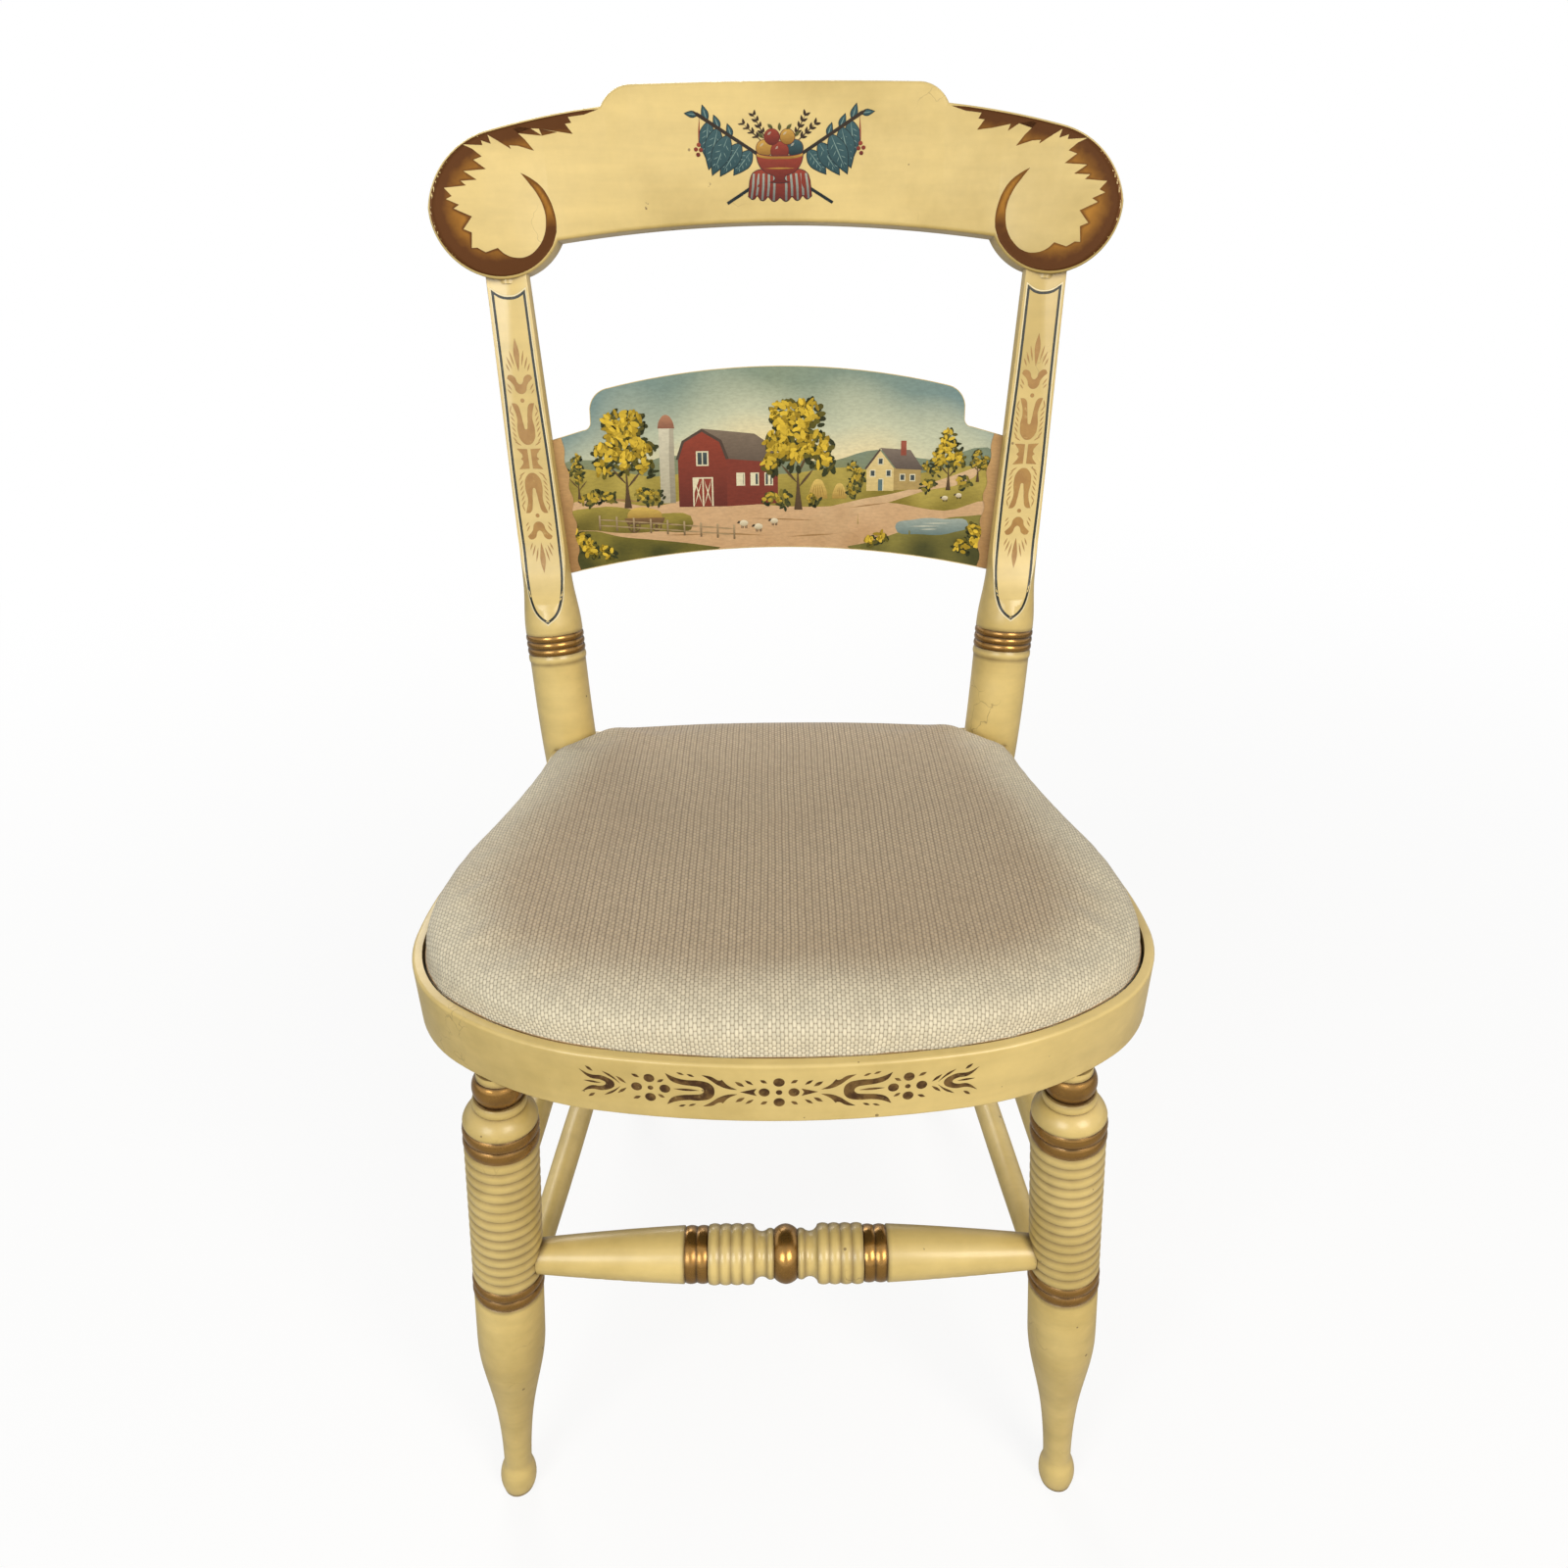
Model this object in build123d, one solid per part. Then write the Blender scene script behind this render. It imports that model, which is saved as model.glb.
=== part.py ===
"""Painted side chair with turned legs, a bent seat hoop, a drop-in seat and a yoke crest.

Millimetres, +Z up, the sitter faces -Y. Everything is laid out from the floor (z = 0), the
middle of the chair (x = 0) and the front face of the seat (y = 0). The finished chair is
moved along Y, so that the origin is under the middle of its overall depth.
"""
from build123d import *
from math import cos, radians, sin, sqrt, tan
import os

# ---- seat frame ------------------------------------------------------------------------
seat_height = 432.0            # floor to the top of the seat rail
rail_height = 41.0
rail_thickness = 28.0
rail_edge_round = 2.0
lip_width = 6.0                # rim of the rail round the drop-in seat
lip_depth = 12.0               # top of the rail down to the ledge that carries the seat
back_rail_thickness = 26.0
back_rail_lip = 12.0
back_rail_setback = 1.0        # rail middle behind the post axis
tenon_thickness = 14.0
tenon_height = 24.0
tenon_gap = 1.0                # between the two tenons that meet inside a post

# seat outline, half of it, from the middle of the front round to the back post
front_bow = (101.0, 8.8)
front_corner = (189.0, 47.3)
widest_point = (222.9, 116.2)
waist_point = (207.8, 204.2)
back_point = (177.0, 339.0)

# ---- front legs ------------------------------------------------------------------------
front_leg_top = (164.5, 45.5)        # leg axis where it meets the rail
front_leg_foot = (195.3, 25.6)       # leg axis at the floor
front_leg_radius = 22.0
leg_tenon_radius = 7.0
leg_tenon_length = 24.0
leg_rib_count = 14
leg_rib_bottom = 225.5
leg_rib_top = 335.5
leg_groove_radius = 21.2
leg_rib_rise = 1.0
leg_band_rise = 1.4
leg_band_height = 15.5               # two bronze beads under the ribs
leg_upper_band_height = 17.0         # two bronze beads over the ribs
leg_fillet_height = 2.4
leg_shoulder_height = 9.5
leg_neck_radius = 15.0
leg_neck_height = 6.5
leg_ball_radius = 15.6
leg_ball_height = 15.5
leg_collar_radius = 13.0
foot_ball_radius = 12.6
foot_flat_radius = 10.4
foot_ball_height = 27.0
ankle_radius = 9.6
leg_taper = ((10.5, 60.0), (14.1, 100.0), (19.6, 136.0))   # radius at a height, over the ankle
leg_drum_bottom = 168.0              # where the taper reaches the drum's radius
leg_shoulder_bulge = 1.5             # how far the shoulder's curve bellies out
leg_neck_rise = 1.0

# ---- back posts ------------------------------------------------------------------------
back_rake = 11.7                     # degrees, seat to crest
post_bend = (166.3, 362.0, 430.0)    # where the raked and the lower axis cross
post_splay = 0.0614                  # outwards per millimetre of height
post_foot = (141.0, 403.0)           # post axis at the floor
post_radius = 21.0
post_bend_radius = 300.0
post_foot_radius = 12.0
post_foot_chamfer = 1.5
post_top_radius = 14.2
post_ring_start = 67.0               # along the raked axis, from the bend
post_ring_heights = (6.5, 5.1, 5.1, 5.1)
post_ring_rise = 0.8
post_swell_radius = 21.4
post_swell_length = 13.0             # over the rings, before the post tapers in
post_swell_fall = 0.6                # loss of radius along the swell
post_neck_radius = 18.1
post_neck_at = 133.0
post_flat_offset = 5.5               # flat front of the post, ahead of its axis
post_scoop_start = 104.0
post_scoop_end = 160.0
post_tenon_radius = 7.0
post_tenon_length = 26.0

# ---- crest and slat, laid out in the raked plane of the posts ----------------------------
board_bend_radius = 850.0
crest_thickness = 24.0
crest_edge_round = 2.5
crest_ahead_of_post = 6.0
crest_top = 458.9
crest_bottom = 372.4
block_corner = (97.0, 456.6)
block_foot = (117.0, 443.2)
shoulder_middle = (155.0, 436.6)
ear_shoulder = (192.0, 427.0)
crest_half_width = 232.5
ear_height = 379.6                   # of the middle of the round ear
ear_radius = 43.5
ear_inner_angle = 206.0
slat_thickness = 10.0
slat_behind_flat = 8.0
slat_top = 278.4
slat_bottom = 148.2
slat_arch_rise = 16.5
slat_crown_corner = (124.0, 264.0)
slat_step_x = 136.3
slat_corner_drop = 14.0
slat_cove = 5.5
slat_shoulder_height = 235.2
slat_shoulder_slope = 0.286
slat_half_length = 159.0             # where the arch of its lower edge ends
slat_tenon_length = 11.0

# ---- stretchers ------------------------------------------------------------------------
front_stretcher_height = 235.0
upper_side_height = 270.0
lower_side_height = 160.0
rear_stretcher_height = 215.0
side_stretcher_middle_radius = 9.6
side_stretcher_end_radius = 7.2
socket_stop = 4.0                    # end of a round stretcher, short of the leg axis
stretcher_tenon_radius = 7.0
stretcher_shoulder_sink = 2.5
stretcher_end_radius = 10.9
stretcher_swell_radius = 17.5
stretcher_cone_middle_radius = 14.7
ball_radius = 18.0
ball_half_width = 7.4
inner_bead_width = 4.6
inner_bead_radius = 15.4
cove_radius = 13.6
cove_width = 8.2
cream_bead_count = 4
cream_bead_width = 7.1
cream_bead_radius = 18.4
bronze_bead_count = 2
bronze_bead_width = 7.4
bronze_bead_radius = 17.5
bead_groove = 0.9                    # depth of the groove between two beads

# ---- drop-in seat ----------------------------------------------------------------------
seat_gap = 0.8
seat_post_gap = 1.0
cover_thickness = 1.0
cover_flange = 16.0
board_thickness = 10.0
pad_crown = 26.0                     # board to the crown of the pad
pad_dome_radius = 3000.0
pad_roll = 12.0
board_corner_round = 25.0
dust_cover_gap = 0.3
block_height = 22.0
block_length = 90.0
block_depth = 34.0
front_block_at = (160.0, 76.0)
front_block_turn = 40.0
back_block_at = (136.0, 336.0)
front_screw_at = (155.0, 82.0)
back_screw_at = (133.0, 333.0)
screw_radius = 2.0
screw_length = 30.0
screw_head_radius = 4.2
screw_head_height = 2.6

rail_bottom = seat_height - rail_height
turning_overrun = 10.0               # a turning runs this far past its end, where it is cut flat
ledge_height = seat_height - lip_depth
board_bottom = ledge_height + cover_thickness
board_top = board_bottom + board_thickness
frame_tenon_bottom = rail_bottom + (rail_height - lip_depth - tenon_height) / 2
crest_joint_height = ear_height + 20.0   # the post blank runs up to here before it is coped
back_rail_middle = post_bend[1] + back_rail_setback
back_rail_front = back_rail_middle - back_rail_thickness / 2
back_rail_rear = back_rail_middle + back_rail_thickness / 2
seat_back = back_rail_rear - back_rail_lip
ear_center = (crest_half_width - ear_radius, ear_height)
far = 1000.0                         # past the edge of any piece


# ---- small helpers -----------------------------------------------------------------------
class Turning:
    """Outline of a turned piece, drawn along its axis one stretch at a time, then spun."""

    def __init__(self, radius, height):
        self.bottom = height
        self.radius = radius
        self.height = height
        self.edges = []

    def _add(self, edge, radius, height):
        self.edges.append(edge)
        self.radius = radius
        self.height = height

    def line_to(self, radius, height):
        """Straight or conical stretch."""
        if abs(height - self.height) + abs(radius - self.radius) > 1e-6:
            self._add(Line((self.radius, self.height), (radius, height)), radius, height)

    def swell_to(self, radius, height, middle_radius):
        """Arc that passes the given radius half way up."""
        middle = (middle_radius, (self.height + height) / 2)
        self._add(ThreePointArc((self.radius, self.height), middle, (radius, height)), radius, height)

    def curve_to(self, *points):
        """Smooth stretch that leaves and arrives along the axis."""
        points = [(self.radius, self.height), *points]
        self._add(Spline(points, tangents=[(0, 1), (0, 1)]), *points[-1])

    def bead(self, width, rise):
        """Half-round ring between two grooves of the present radius."""
        self.swell_to(self.radius, self.height + width, self.radius + rise)

    def solid(self):
        """The outline closed on the axis and spun about Z."""
        bottom = Line((0, self.bottom), self.edges[0] @ 0)
        top = Line((self.radius, self.height), (0, self.height))
        axis = Line((0, self.height), (0, self.bottom))
        return revolve(Plane.XZ * make_face([bottom, *self.edges, top, axis]), Axis.Z)


def mirrored(shape):
    """The same piece on the other side of the chair."""
    return mirror(shape, about=Plane.YZ)


def standing_on(start, end):
    """Frame at start whose Z runs along the axis to end."""
    along = (Vector(*end) - Vector(*start)).normalized()
    sideways = Vector(0, 1, 0) if abs(along.X) > 0.7 else Vector(1, 0, 0)
    across = (sideways - along * sideways.dot(along)).normalized()
    return Plane(origin=start, x_dir=across, z_dir=along)


def space_between(bottom, top):
    """All of the space between two heights."""
    return Pos(0, 0, (bottom + top) / 2) * Box(2 * far, 2 * far, top - bottom)


def raised(face, bottom, top):
    """A flat face made solid between two heights."""
    return Pos(0, 0, bottom) * extrude(face, top - bottom)


# ---- axes ----------------------------------------------------------------------------------
def front_leg_axis(height):
    """Point of the right front leg's axis at a height over the floor."""
    share = height / rail_bottom
    x = front_leg_foot[0] + (front_leg_top[0] - front_leg_foot[0]) * share
    y = front_leg_foot[1] + (front_leg_top[1] - front_leg_foot[1]) * share
    return Vector(x, y, height)


def lower_post_axis(height):
    """Point of the right post's axis under the seat."""
    share = height / post_bend[2]
    x = post_foot[0] + (post_bend[0] - post_foot[0]) * share
    y = post_foot[1] + (post_bend[1] - post_foot[1]) * share
    return Vector(x, y, height)


raked_direction = Vector(post_splay, tan(radians(back_rake)), 1).normalized()
back_plane = Plane(
    origin=(0, post_bend[1], post_bend[2]),
    x_dir=(1, 0, 0),
    z_dir=(0, -cos(radians(back_rake)), sin(radians(back_rake))),
)
splay_in_plane = post_splay * cos(radians(back_rake))


def post_across(height):
    """Sideways place of the right post's axis at a height in the raked plane."""
    return post_bend[0] + splay_in_plane * height


# ---- seat frame ------------------------------------------------------------------------------
def seat_outline():
    """Outer outline of the seat frame, run on straight behind the posts."""
    bow = TangentArc((0, 0), front_bow, tangent=(1, 0))
    corner = TangentArc(front_bow, front_corner, tangent=bow % 1)
    side = TangentArc(front_corner, widest_point, tangent=corner % 1)
    shoulder = TangentArc(widest_point, waist_point, tangent=side % 1)
    waist = TangentArc(waist_point, back_point, tangent=shoulder % 1)
    end = waist @ 1 + (waist % 1) * (4 * rail_thickness)
    run_on = Line(waist @ 1, end)
    rear = Line(end, (0, end.Y))
    half = make_face([bow, corner, side, shoulder, waist, run_on, rear, Line((0, end.Y), (0, 0))])
    return half + mirrored(half)


frame_outline = seat_outline()


def seat_plan(inset, back):
    """The seat outline drawn in by this much, as far back as the given line."""
    shape = frame_outline if inset == 0 else offset(frame_outline, amount=-inset)
    return shape & (Pos(0, back - far) * Rectangle(2 * far, 2 * far))


def seat_hoop(posts, tenons):
    """Bent hoop with a rebate for the drop-in seat and its ends tenoned into the posts."""
    end = back_rail_front
    ledge = raised(seat_plan(0, end) - seat_plan(rail_thickness, end), rail_bottom, ledge_height)
    lip = raised(seat_plan(0, end) - seat_plan(lip_width, end), ledge_height, seat_height)
    hoop = ledge + lip
    top = hoop.faces().sort_by(Axis.Z)[-1].outer_wire().edges()
    bottom = hoop.faces().sort_by(Axis.Z)[0].outer_wire().edges()
    outer = [edge for edge in top + bottom if on_outline(edge)]
    hoop = fillet(outer, rail_edge_round)
    for post in posts:
        hoop -= post
    hoop = hoop.solids().sort_by(SortBy.VOLUME)[-1]
    side = (rail_thickness - tenon_thickness) / 2
    tenon_end = back_rail_middle - tenon_thickness / 2 - tenon_gap
    strip = seat_plan(side, tenon_end) - seat_plan(side + tenon_thickness, tenon_end)
    strip &= Pos(0, tenon_end - post_radius - tenon_thickness + far) * Rectangle(2 * far, 2 * far)
    hoop += raised(strip, frame_tenon_bottom, frame_tenon_bottom + tenon_height)
    for tenon in tenons:
        hoop -= tenon
    return hoop


def on_outline(edge):
    """True for an edge that follows the outer outline of the seat."""
    middle = edge @ 0.5
    return frame_outline.face().outer_wire().distance_to(Vector(middle.X, middle.Y, 0)) < 0.01


def back_rail(posts):
    """Straight rail between the posts, with a rebate for the drop-in seat."""
    reach = 2 * post_bend[0]
    lower = Pos(0, back_rail_middle) * Rectangle(reach, back_rail_thickness)
    upper = Pos(0, back_rail_rear - back_rail_lip / 2) * Rectangle(reach, back_rail_lip)
    rail = raised(lower, rail_bottom, ledge_height) + raised(upper, ledge_height, seat_height)
    for post in posts:
        rail -= post
    rail = rail.solids().sort_by(SortBy.VOLUME)[-1]
    tenon = Pos(0, back_rail_middle) * Rectangle(reach - tenon_thickness / 2, tenon_thickness)
    return rail + raised(tenon, frame_tenon_bottom, frame_tenon_bottom + tenon_height)


def corner_block(center, turn, inner, posts):
    """Block glued into a corner of the seat frame, under the drop-in seat."""
    face = Pos(*center) * Rot(0, 0, turn) * Rectangle(block_length, block_depth)
    block = raised(inner & face, ledge_height - block_height, ledge_height)
    for post in posts:
        block -= post
    return block.solids().sort_by(SortBy.VOLUME)[-1]


# ---- front legs --------------------------------------------------------------------------------
def front_leg():
    """Right front leg: ball foot, tapered shaft, ribbed drum, bands of beads and a ball neck."""
    turning = Turning(foot_flat_radius, -turning_overrun)
    turning.line_to(foot_flat_radius, 0)
    turning.swell_to(ankle_radius, foot_ball_height, foot_ball_radius)
    turning.curve_to(*leg_taper, (front_leg_radius, leg_drum_bottom))
    turning.line_to(front_leg_radius, leg_rib_bottom - leg_band_height - 1)
    turning.line_to(leg_groove_radius, leg_rib_bottom - leg_band_height)
    for _ in range(2):
        turning.bead(leg_band_height / 2, leg_band_rise)
    for _ in range(leg_rib_count):
        turning.bead((leg_rib_top - leg_rib_bottom) / leg_rib_count, leg_rib_rise)
    for _ in range(2):
        turning.bead(leg_upper_band_height / 2, leg_band_rise)
    fillet_bottom = leg_rib_top + leg_upper_band_height
    turning.line_to(front_leg_radius, fillet_bottom + 1)
    turning.line_to(front_leg_radius, fillet_bottom + leg_fillet_height)
    neck = fillet_bottom + leg_fillet_height + leg_shoulder_height
    turning.swell_to(leg_neck_radius, neck, (front_leg_radius + leg_neck_radius) / 2 + leg_shoulder_bulge)
    turning.bead(leg_neck_height, leg_neck_rise)
    turning.line_to(leg_collar_radius, turning.height + 0.5)
    turning.swell_to(leg_collar_radius, turning.height + leg_ball_height, leg_ball_radius)
    turning.line_to(leg_collar_radius, rail_bottom + turning_overrun)
    frame = standing_on(front_leg_axis(0), front_leg_axis(rail_bottom))
    body = (frame.location * turning.solid()) & space_between(0, rail_bottom)
    return body + front_leg_tenon()


def front_leg_tenon():
    """Round tenon of the right front leg, up into the hoop."""
    frame = standing_on(front_leg_axis(rail_bottom), front_leg_axis(2 * rail_bottom))
    pin = frame.location * Cylinder(leg_tenon_radius, 2 * leg_tenon_length)
    return pin & space_between(rail_bottom, seat_height)


# ---- back posts --------------------------------------------------------------------------------
def bend_reach():
    """How far the bend runs along each of the post's two axes."""
    lower = (Vector(*post_bend) - lower_post_axis(0)).normalized()
    turn = lower.get_angle(raked_direction)
    return post_bend_radius * tan(radians(turn / 2))


def post_bent_part():
    """Round bend of the post at the seat."""
    reach = bend_reach()
    lower = (lower_post_axis(0) - Vector(*post_bend)).normalized()
    start = Vector(*post_bend) + lower * reach
    end = Vector(*post_bend) + raked_direction * reach
    path = TangentArc(start, end, tangent=lower * -1)
    return sweep(Plane(origin=start, z_dir=lower * -1) * Circle(post_radius), path=path)


def post_lower_part():
    """Tapered leg from the bend to the floor."""
    top = Vector(*post_bend) + (lower_post_axis(0) - Vector(*post_bend)).normalized() * bend_reach()
    frame = standing_on(lower_post_axis(0), top)
    length = (top - lower_post_axis(0)).length
    turning = Turning(post_foot_radius - post_foot_chamfer, -turning_overrun)
    turning.line_to(post_foot_radius - post_foot_chamfer, 0)
    turning.line_to(post_foot_radius, post_foot_chamfer)
    turning.line_to(post_radius, length)
    return (frame.location * turning.solid()) & space_between(0, seat_height)


def post_upper_part():
    """Raked part: ring turnings over the seat, then a shaved front that tapers to the crest."""
    frame = standing_on(post_bend, Vector(*post_bend) + raked_direction)
    turning = Turning(post_radius, bend_reach())
    turning.line_to(post_radius, post_ring_start)
    for height in post_ring_heights:
        turning.bead(height, post_ring_rise)
    ring_top = turning.height
    turning.line_to(post_swell_radius, ring_top + 1)
    swell_end = (post_swell_radius - post_swell_fall, ring_top + post_swell_length)
    turning.curve_to(swell_end, (post_neck_radius, post_neck_at))
    turning.line_to(post_top_radius, crest_joint_height)
    round_post = frame.location * turning.solid()
    scoop = TangentArc(
        (post_scoop_end, post_flat_offset + 1),
        (post_scoop_start, post_swell_radius + 1),
        tangent=(-1, 0),
    )
    top = crest_joint_height + post_radius
    clear = 3 * post_radius
    flat = Line((top, post_flat_offset), scoop @ 0)
    front = [
        flat,
        scoop,
        Line(scoop @ 1, (post_scoop_start, clear)),
        Line((post_scoop_start, clear), (top, clear)),
        Line((top, clear), flat @ 0),
    ]
    side_view = Plane(origin=back_plane.origin, x_dir=back_plane.y_dir, z_dir=back_plane.x_dir)
    return round_post - extrude(side_view * make_face(front), far, both=True)


def back_post(crest_prism):
    """Whole right post before its mortises, coped under the ear of the crest."""
    upper = post_upper_part() - crest_prism
    upper = upper.solids().sort_by(SortBy.VOLUME)[-1]
    return post_lower_part() + post_bent_part() + upper + post_tenon()


def post_tenon():
    """Round tenon at the top of the right post."""
    frame = standing_on(post_bend, Vector(*post_bend) + raked_direction)
    start = (ear_center[1] - ear_radius) - 2
    pin = Pos(0, 0, start + (post_tenon_length + 2) / 2) * Cylinder(post_tenon_radius, post_tenon_length + 2)
    return frame.location * pin


# ---- crest and slat ------------------------------------------------------------------------------
def bent_strip(front_at_middle, thickness):
    """Board bent round the sitter's back: an arc in plan, run up the rake."""
    half = crest_half_width + 2 * ear_radius
    curves = []
    for depth, radius in (
        (front_at_middle, board_bend_radius),
        (front_at_middle - thickness, board_bend_radius + thickness),
    ):
        end_depth = depth + radius - sqrt(radius**2 - half**2)
        curves.append(ThreePointArc((-half, end_depth), (0, depth), (half, end_depth)))
    ends = [Line(curves[0] @ i, curves[1] @ i) for i in (0, 1)]
    plan = Plane(origin=back_plane.origin, x_dir=back_plane.x_dir, z_dir=back_plane.y_dir * -1)
    return extrude(plan * make_face([*curves, *ends]), -1.5 * crest_top)


def forward_at(across):
    """How much further forward a bent board is here than at its middle."""
    return board_bend_radius - sqrt(board_bend_radius**2 - across**2)


def cut_from_strip(strip, elevation):
    """A bent board sawn to its outline, square to the rake."""
    return strip & extrude(back_plane * elevation, far / 5, both=True)


def crest_elevation():
    """Stepped top, sloping shoulders and round ears of the crest, seen square to the rake."""
    center = Vector(*ear_center)
    angle = radians(ear_inner_angle)
    notch = center + Vector(cos(angle), sin(angle)) * ear_radius
    ear_side = center + Vector(ear_radius, 0)
    crown = TangentArc((0, crest_top), block_corner, tangent=(1, 0))
    corner = TangentArc(block_corner, block_foot, tangent=crown % 1)
    shoulder = ThreePointArc(block_foot, shoulder_middle, ear_shoulder)
    ear_top = TangentArc(ear_shoulder, ear_side, tangent=shoulder % 1)
    ear = ThreePointArc(ear_side, center - Vector(0, ear_radius), notch)
    arch = TangentArc((0, crest_bottom), notch, tangent=(1, 0))
    middle = Line((0, crest_bottom), (0, crest_top))
    half = make_face([crown, corner, shoulder, ear_top, ear, arch, middle])
    return half + mirrored(half)


def crest_rail(tenons):
    """Yoke crest with a stepped top and round ears, bored for the posts."""
    front = post_flat_offset + crest_ahead_of_post - forward_at(ear_center[0])
    crest = cut_from_strip(bent_strip(front, crest_thickness), crest_elevation())
    across = crest.edges().filter_by(Axis((0, 0, 0), back_plane.z_dir), reverse=True)
    crest = fillet(across.filter_by(lambda edge: edge.length > crest_edge_round), crest_edge_round)
    for tenon in tenons:
        crest -= tenon
    return crest


def slat_elevation():
    """Raised middle, sloping shoulders and arched lower edge of the slat."""
    crown = TangentArc((0, slat_top), slat_crown_corner, tangent=(1, 0))
    step_top = (slat_step_x, slat_crown_corner[1] - slat_corner_drop)
    step_foot = (slat_step_x, slat_shoulder_height + slat_cove)
    shoulder_start = (slat_step_x + slat_cove, slat_shoulder_height)
    corner = TangentArc(slat_crown_corner, step_top, tangent=crown % 1)
    cove = TangentArc(step_foot, shoulder_start, tangent=(0, -1))
    end_top = slat_end(slat_shoulder_height)
    end_top = (end_top, slat_shoulder_height - slat_shoulder_slope * (end_top - shoulder_start[0]))
    arch = TangentArc((0, slat_bottom), (slat_half_length, slat_bottom - slat_arch_rise), tangent=(1, 0))
    end_bottom = slat_end(slat_bottom - slat_arch_rise)
    slope = (arch % 1).Y / (arch % 1).X
    end_bottom = (end_bottom, slat_bottom - slat_arch_rise + slope * (end_bottom - slat_half_length))
    edges = [
        crown,
        corner,
        Line(step_top, step_foot),
        cove,
        Line(shoulder_start, end_top),
        Line(end_top, end_bottom),
        Line(end_bottom, arch @ 1),
        arch,
        Line((0, slat_bottom), (0, slat_top)),
    ]
    half = make_face(edges)
    return half + mirrored(half)


def slat_end(height):
    """How far the slat reaches into its mortise at this height."""
    return post_across(height) - post_neck_radius + slat_tenon_length


def back_slat():
    """Bent slat, let into both posts."""
    front = post_flat_offset - slat_behind_flat - forward_at(slat_half_length)
    return cut_from_strip(bent_strip(front, slat_thickness), slat_elevation())


# ---- stretchers ----------------------------------------------------------------------------------
def front_stretcher():
    """Turned front stretcher: ball, beads and a cone to each leg, shouldered and tenoned."""
    leg = front_leg_axis(front_stretcher_height)
    shoulder = leg.X - front_leg_radius + stretcher_shoulder_sink
    groove = inner_bead_radius - bead_groove
    turning = Turning(ball_radius, 0)
    turning.swell_to(groove, ball_half_width, (ball_radius + groove) / 2 + 0.9)
    turning.bead(inner_bead_width, bead_groove)
    turning.swell_to(cream_bead_radius - bead_groove, turning.height + cove_width, cove_radius)
    for _ in range(cream_bead_count):
        turning.bead(cream_bead_width, bead_groove)
    turning.line_to(bronze_bead_radius - bead_groove, turning.height)
    for _ in range(bronze_bead_count):
        turning.bead(bronze_bead_width, bead_groove)
    turning.line_to(stretcher_swell_radius, turning.height + 0.8)
    turning.swell_to(stretcher_end_radius, shoulder, stretcher_cone_middle_radius)
    turning.line_to(stretcher_tenon_radius, shoulder)
    turning.line_to(stretcher_tenon_radius, leg.X - socket_stop)
    frame = standing_on((0, leg.Y, leg.Z), leg)
    half = frame.location * turning.solid()
    return half + mirrored(half)


def plain_stretcher(start, end):
    """Plain round stretcher, fuller in the middle, from socket to socket."""
    length = (end - start).length
    turning = Turning(side_stretcher_end_radius, socket_stop)
    turning.swell_to(side_stretcher_end_radius, length - socket_stop, side_stretcher_middle_radius)
    return standing_on(start, end).location * turning.solid()


def side_stretcher(height):
    """Stretcher from the right front leg to the right post."""
    return plain_stretcher(front_leg_axis(height), lower_post_axis(height))


def rear_stretcher():
    """Stretcher between the posts."""
    right = lower_post_axis(rear_stretcher_height)
    left = Vector(-right.X, right.Y, right.Z)
    return plain_stretcher(left, right)


# ---- drop-in seat ----------------------------------------------------------------------------------
def seat_cut(extra):
    """Plan of the drop-in seat, this far inside the rebate's gap, with its back corners cut off."""
    inset = seat_gap + extra
    plan = seat_plan(lip_width + inset, seat_back - inset)
    clear = post_radius + seat_post_gap + extra
    for side in (1, -1):
        corner = Pos(side * post_bend[0], post_bend[1]) * Rot(0, 0, -side * 45)
        plan -= corner * Pos(0, far / 2 - clear) * Rectangle(far, far)
    corners = plan.vertices().group_by(Axis.Y)
    back_corners = corners[-1] + corners[-2]
    return fillet(back_corners, board_corner_round)


def cushion_body(extra, bottom, crown, roll):
    """Drop-in seat with a gently domed top and rolled edges."""
    body = raised(seat_cut(extra), bottom, crown)
    dome_middle = (seat_back + back_rail_front) / 4
    body &= Pos(0, dome_middle, crown - pad_dome_radius) * Sphere(pad_dome_radius)
    top = body.faces().sort_by(Axis.Z)[-1]
    return fillet(top.edges(), roll)


def seat_board():
    """Plywood board under the pad."""
    return raised(seat_cut(cover_thickness), board_bottom, board_top)


def seat_pad():
    """Foam pad on the board."""
    return cushion_body(cover_thickness, board_top, board_top + pad_crown, pad_roll)


def seat_cover():
    """Woven cover, pulled over the pad and turned under the board."""
    crown = board_top + pad_crown
    outer = cushion_body(0, ledge_height, crown + cover_thickness, pad_roll + cover_thickness)
    inner = cushion_body(cover_thickness, board_bottom, crown, pad_roll)
    opening = raised(seat_cut(cover_flange), ledge_height, board_bottom)
    return outer - inner - opening


def dust_cover():
    """Thin cloth under the board, inside the turned edge of the cover."""
    return raised(seat_cut(cover_flange + dust_cover_gap), ledge_height, board_bottom)


def seat_screws():
    """Wood screws up through the corner blocks into the board."""
    screws = []
    for x, y in (front_screw_at, back_screw_at):
        head_top = ledge_height - block_height
        shank = Pos(x, y, head_top + screw_length / 2) * Cylinder(screw_radius, screw_length)
        head = Pos(x, y, head_top - screw_head_height / 2) * Cylinder(screw_head_radius, screw_head_height)
        screw = shank + head
        screws += [screw, mirrored(screw)]
    return screws


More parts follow.
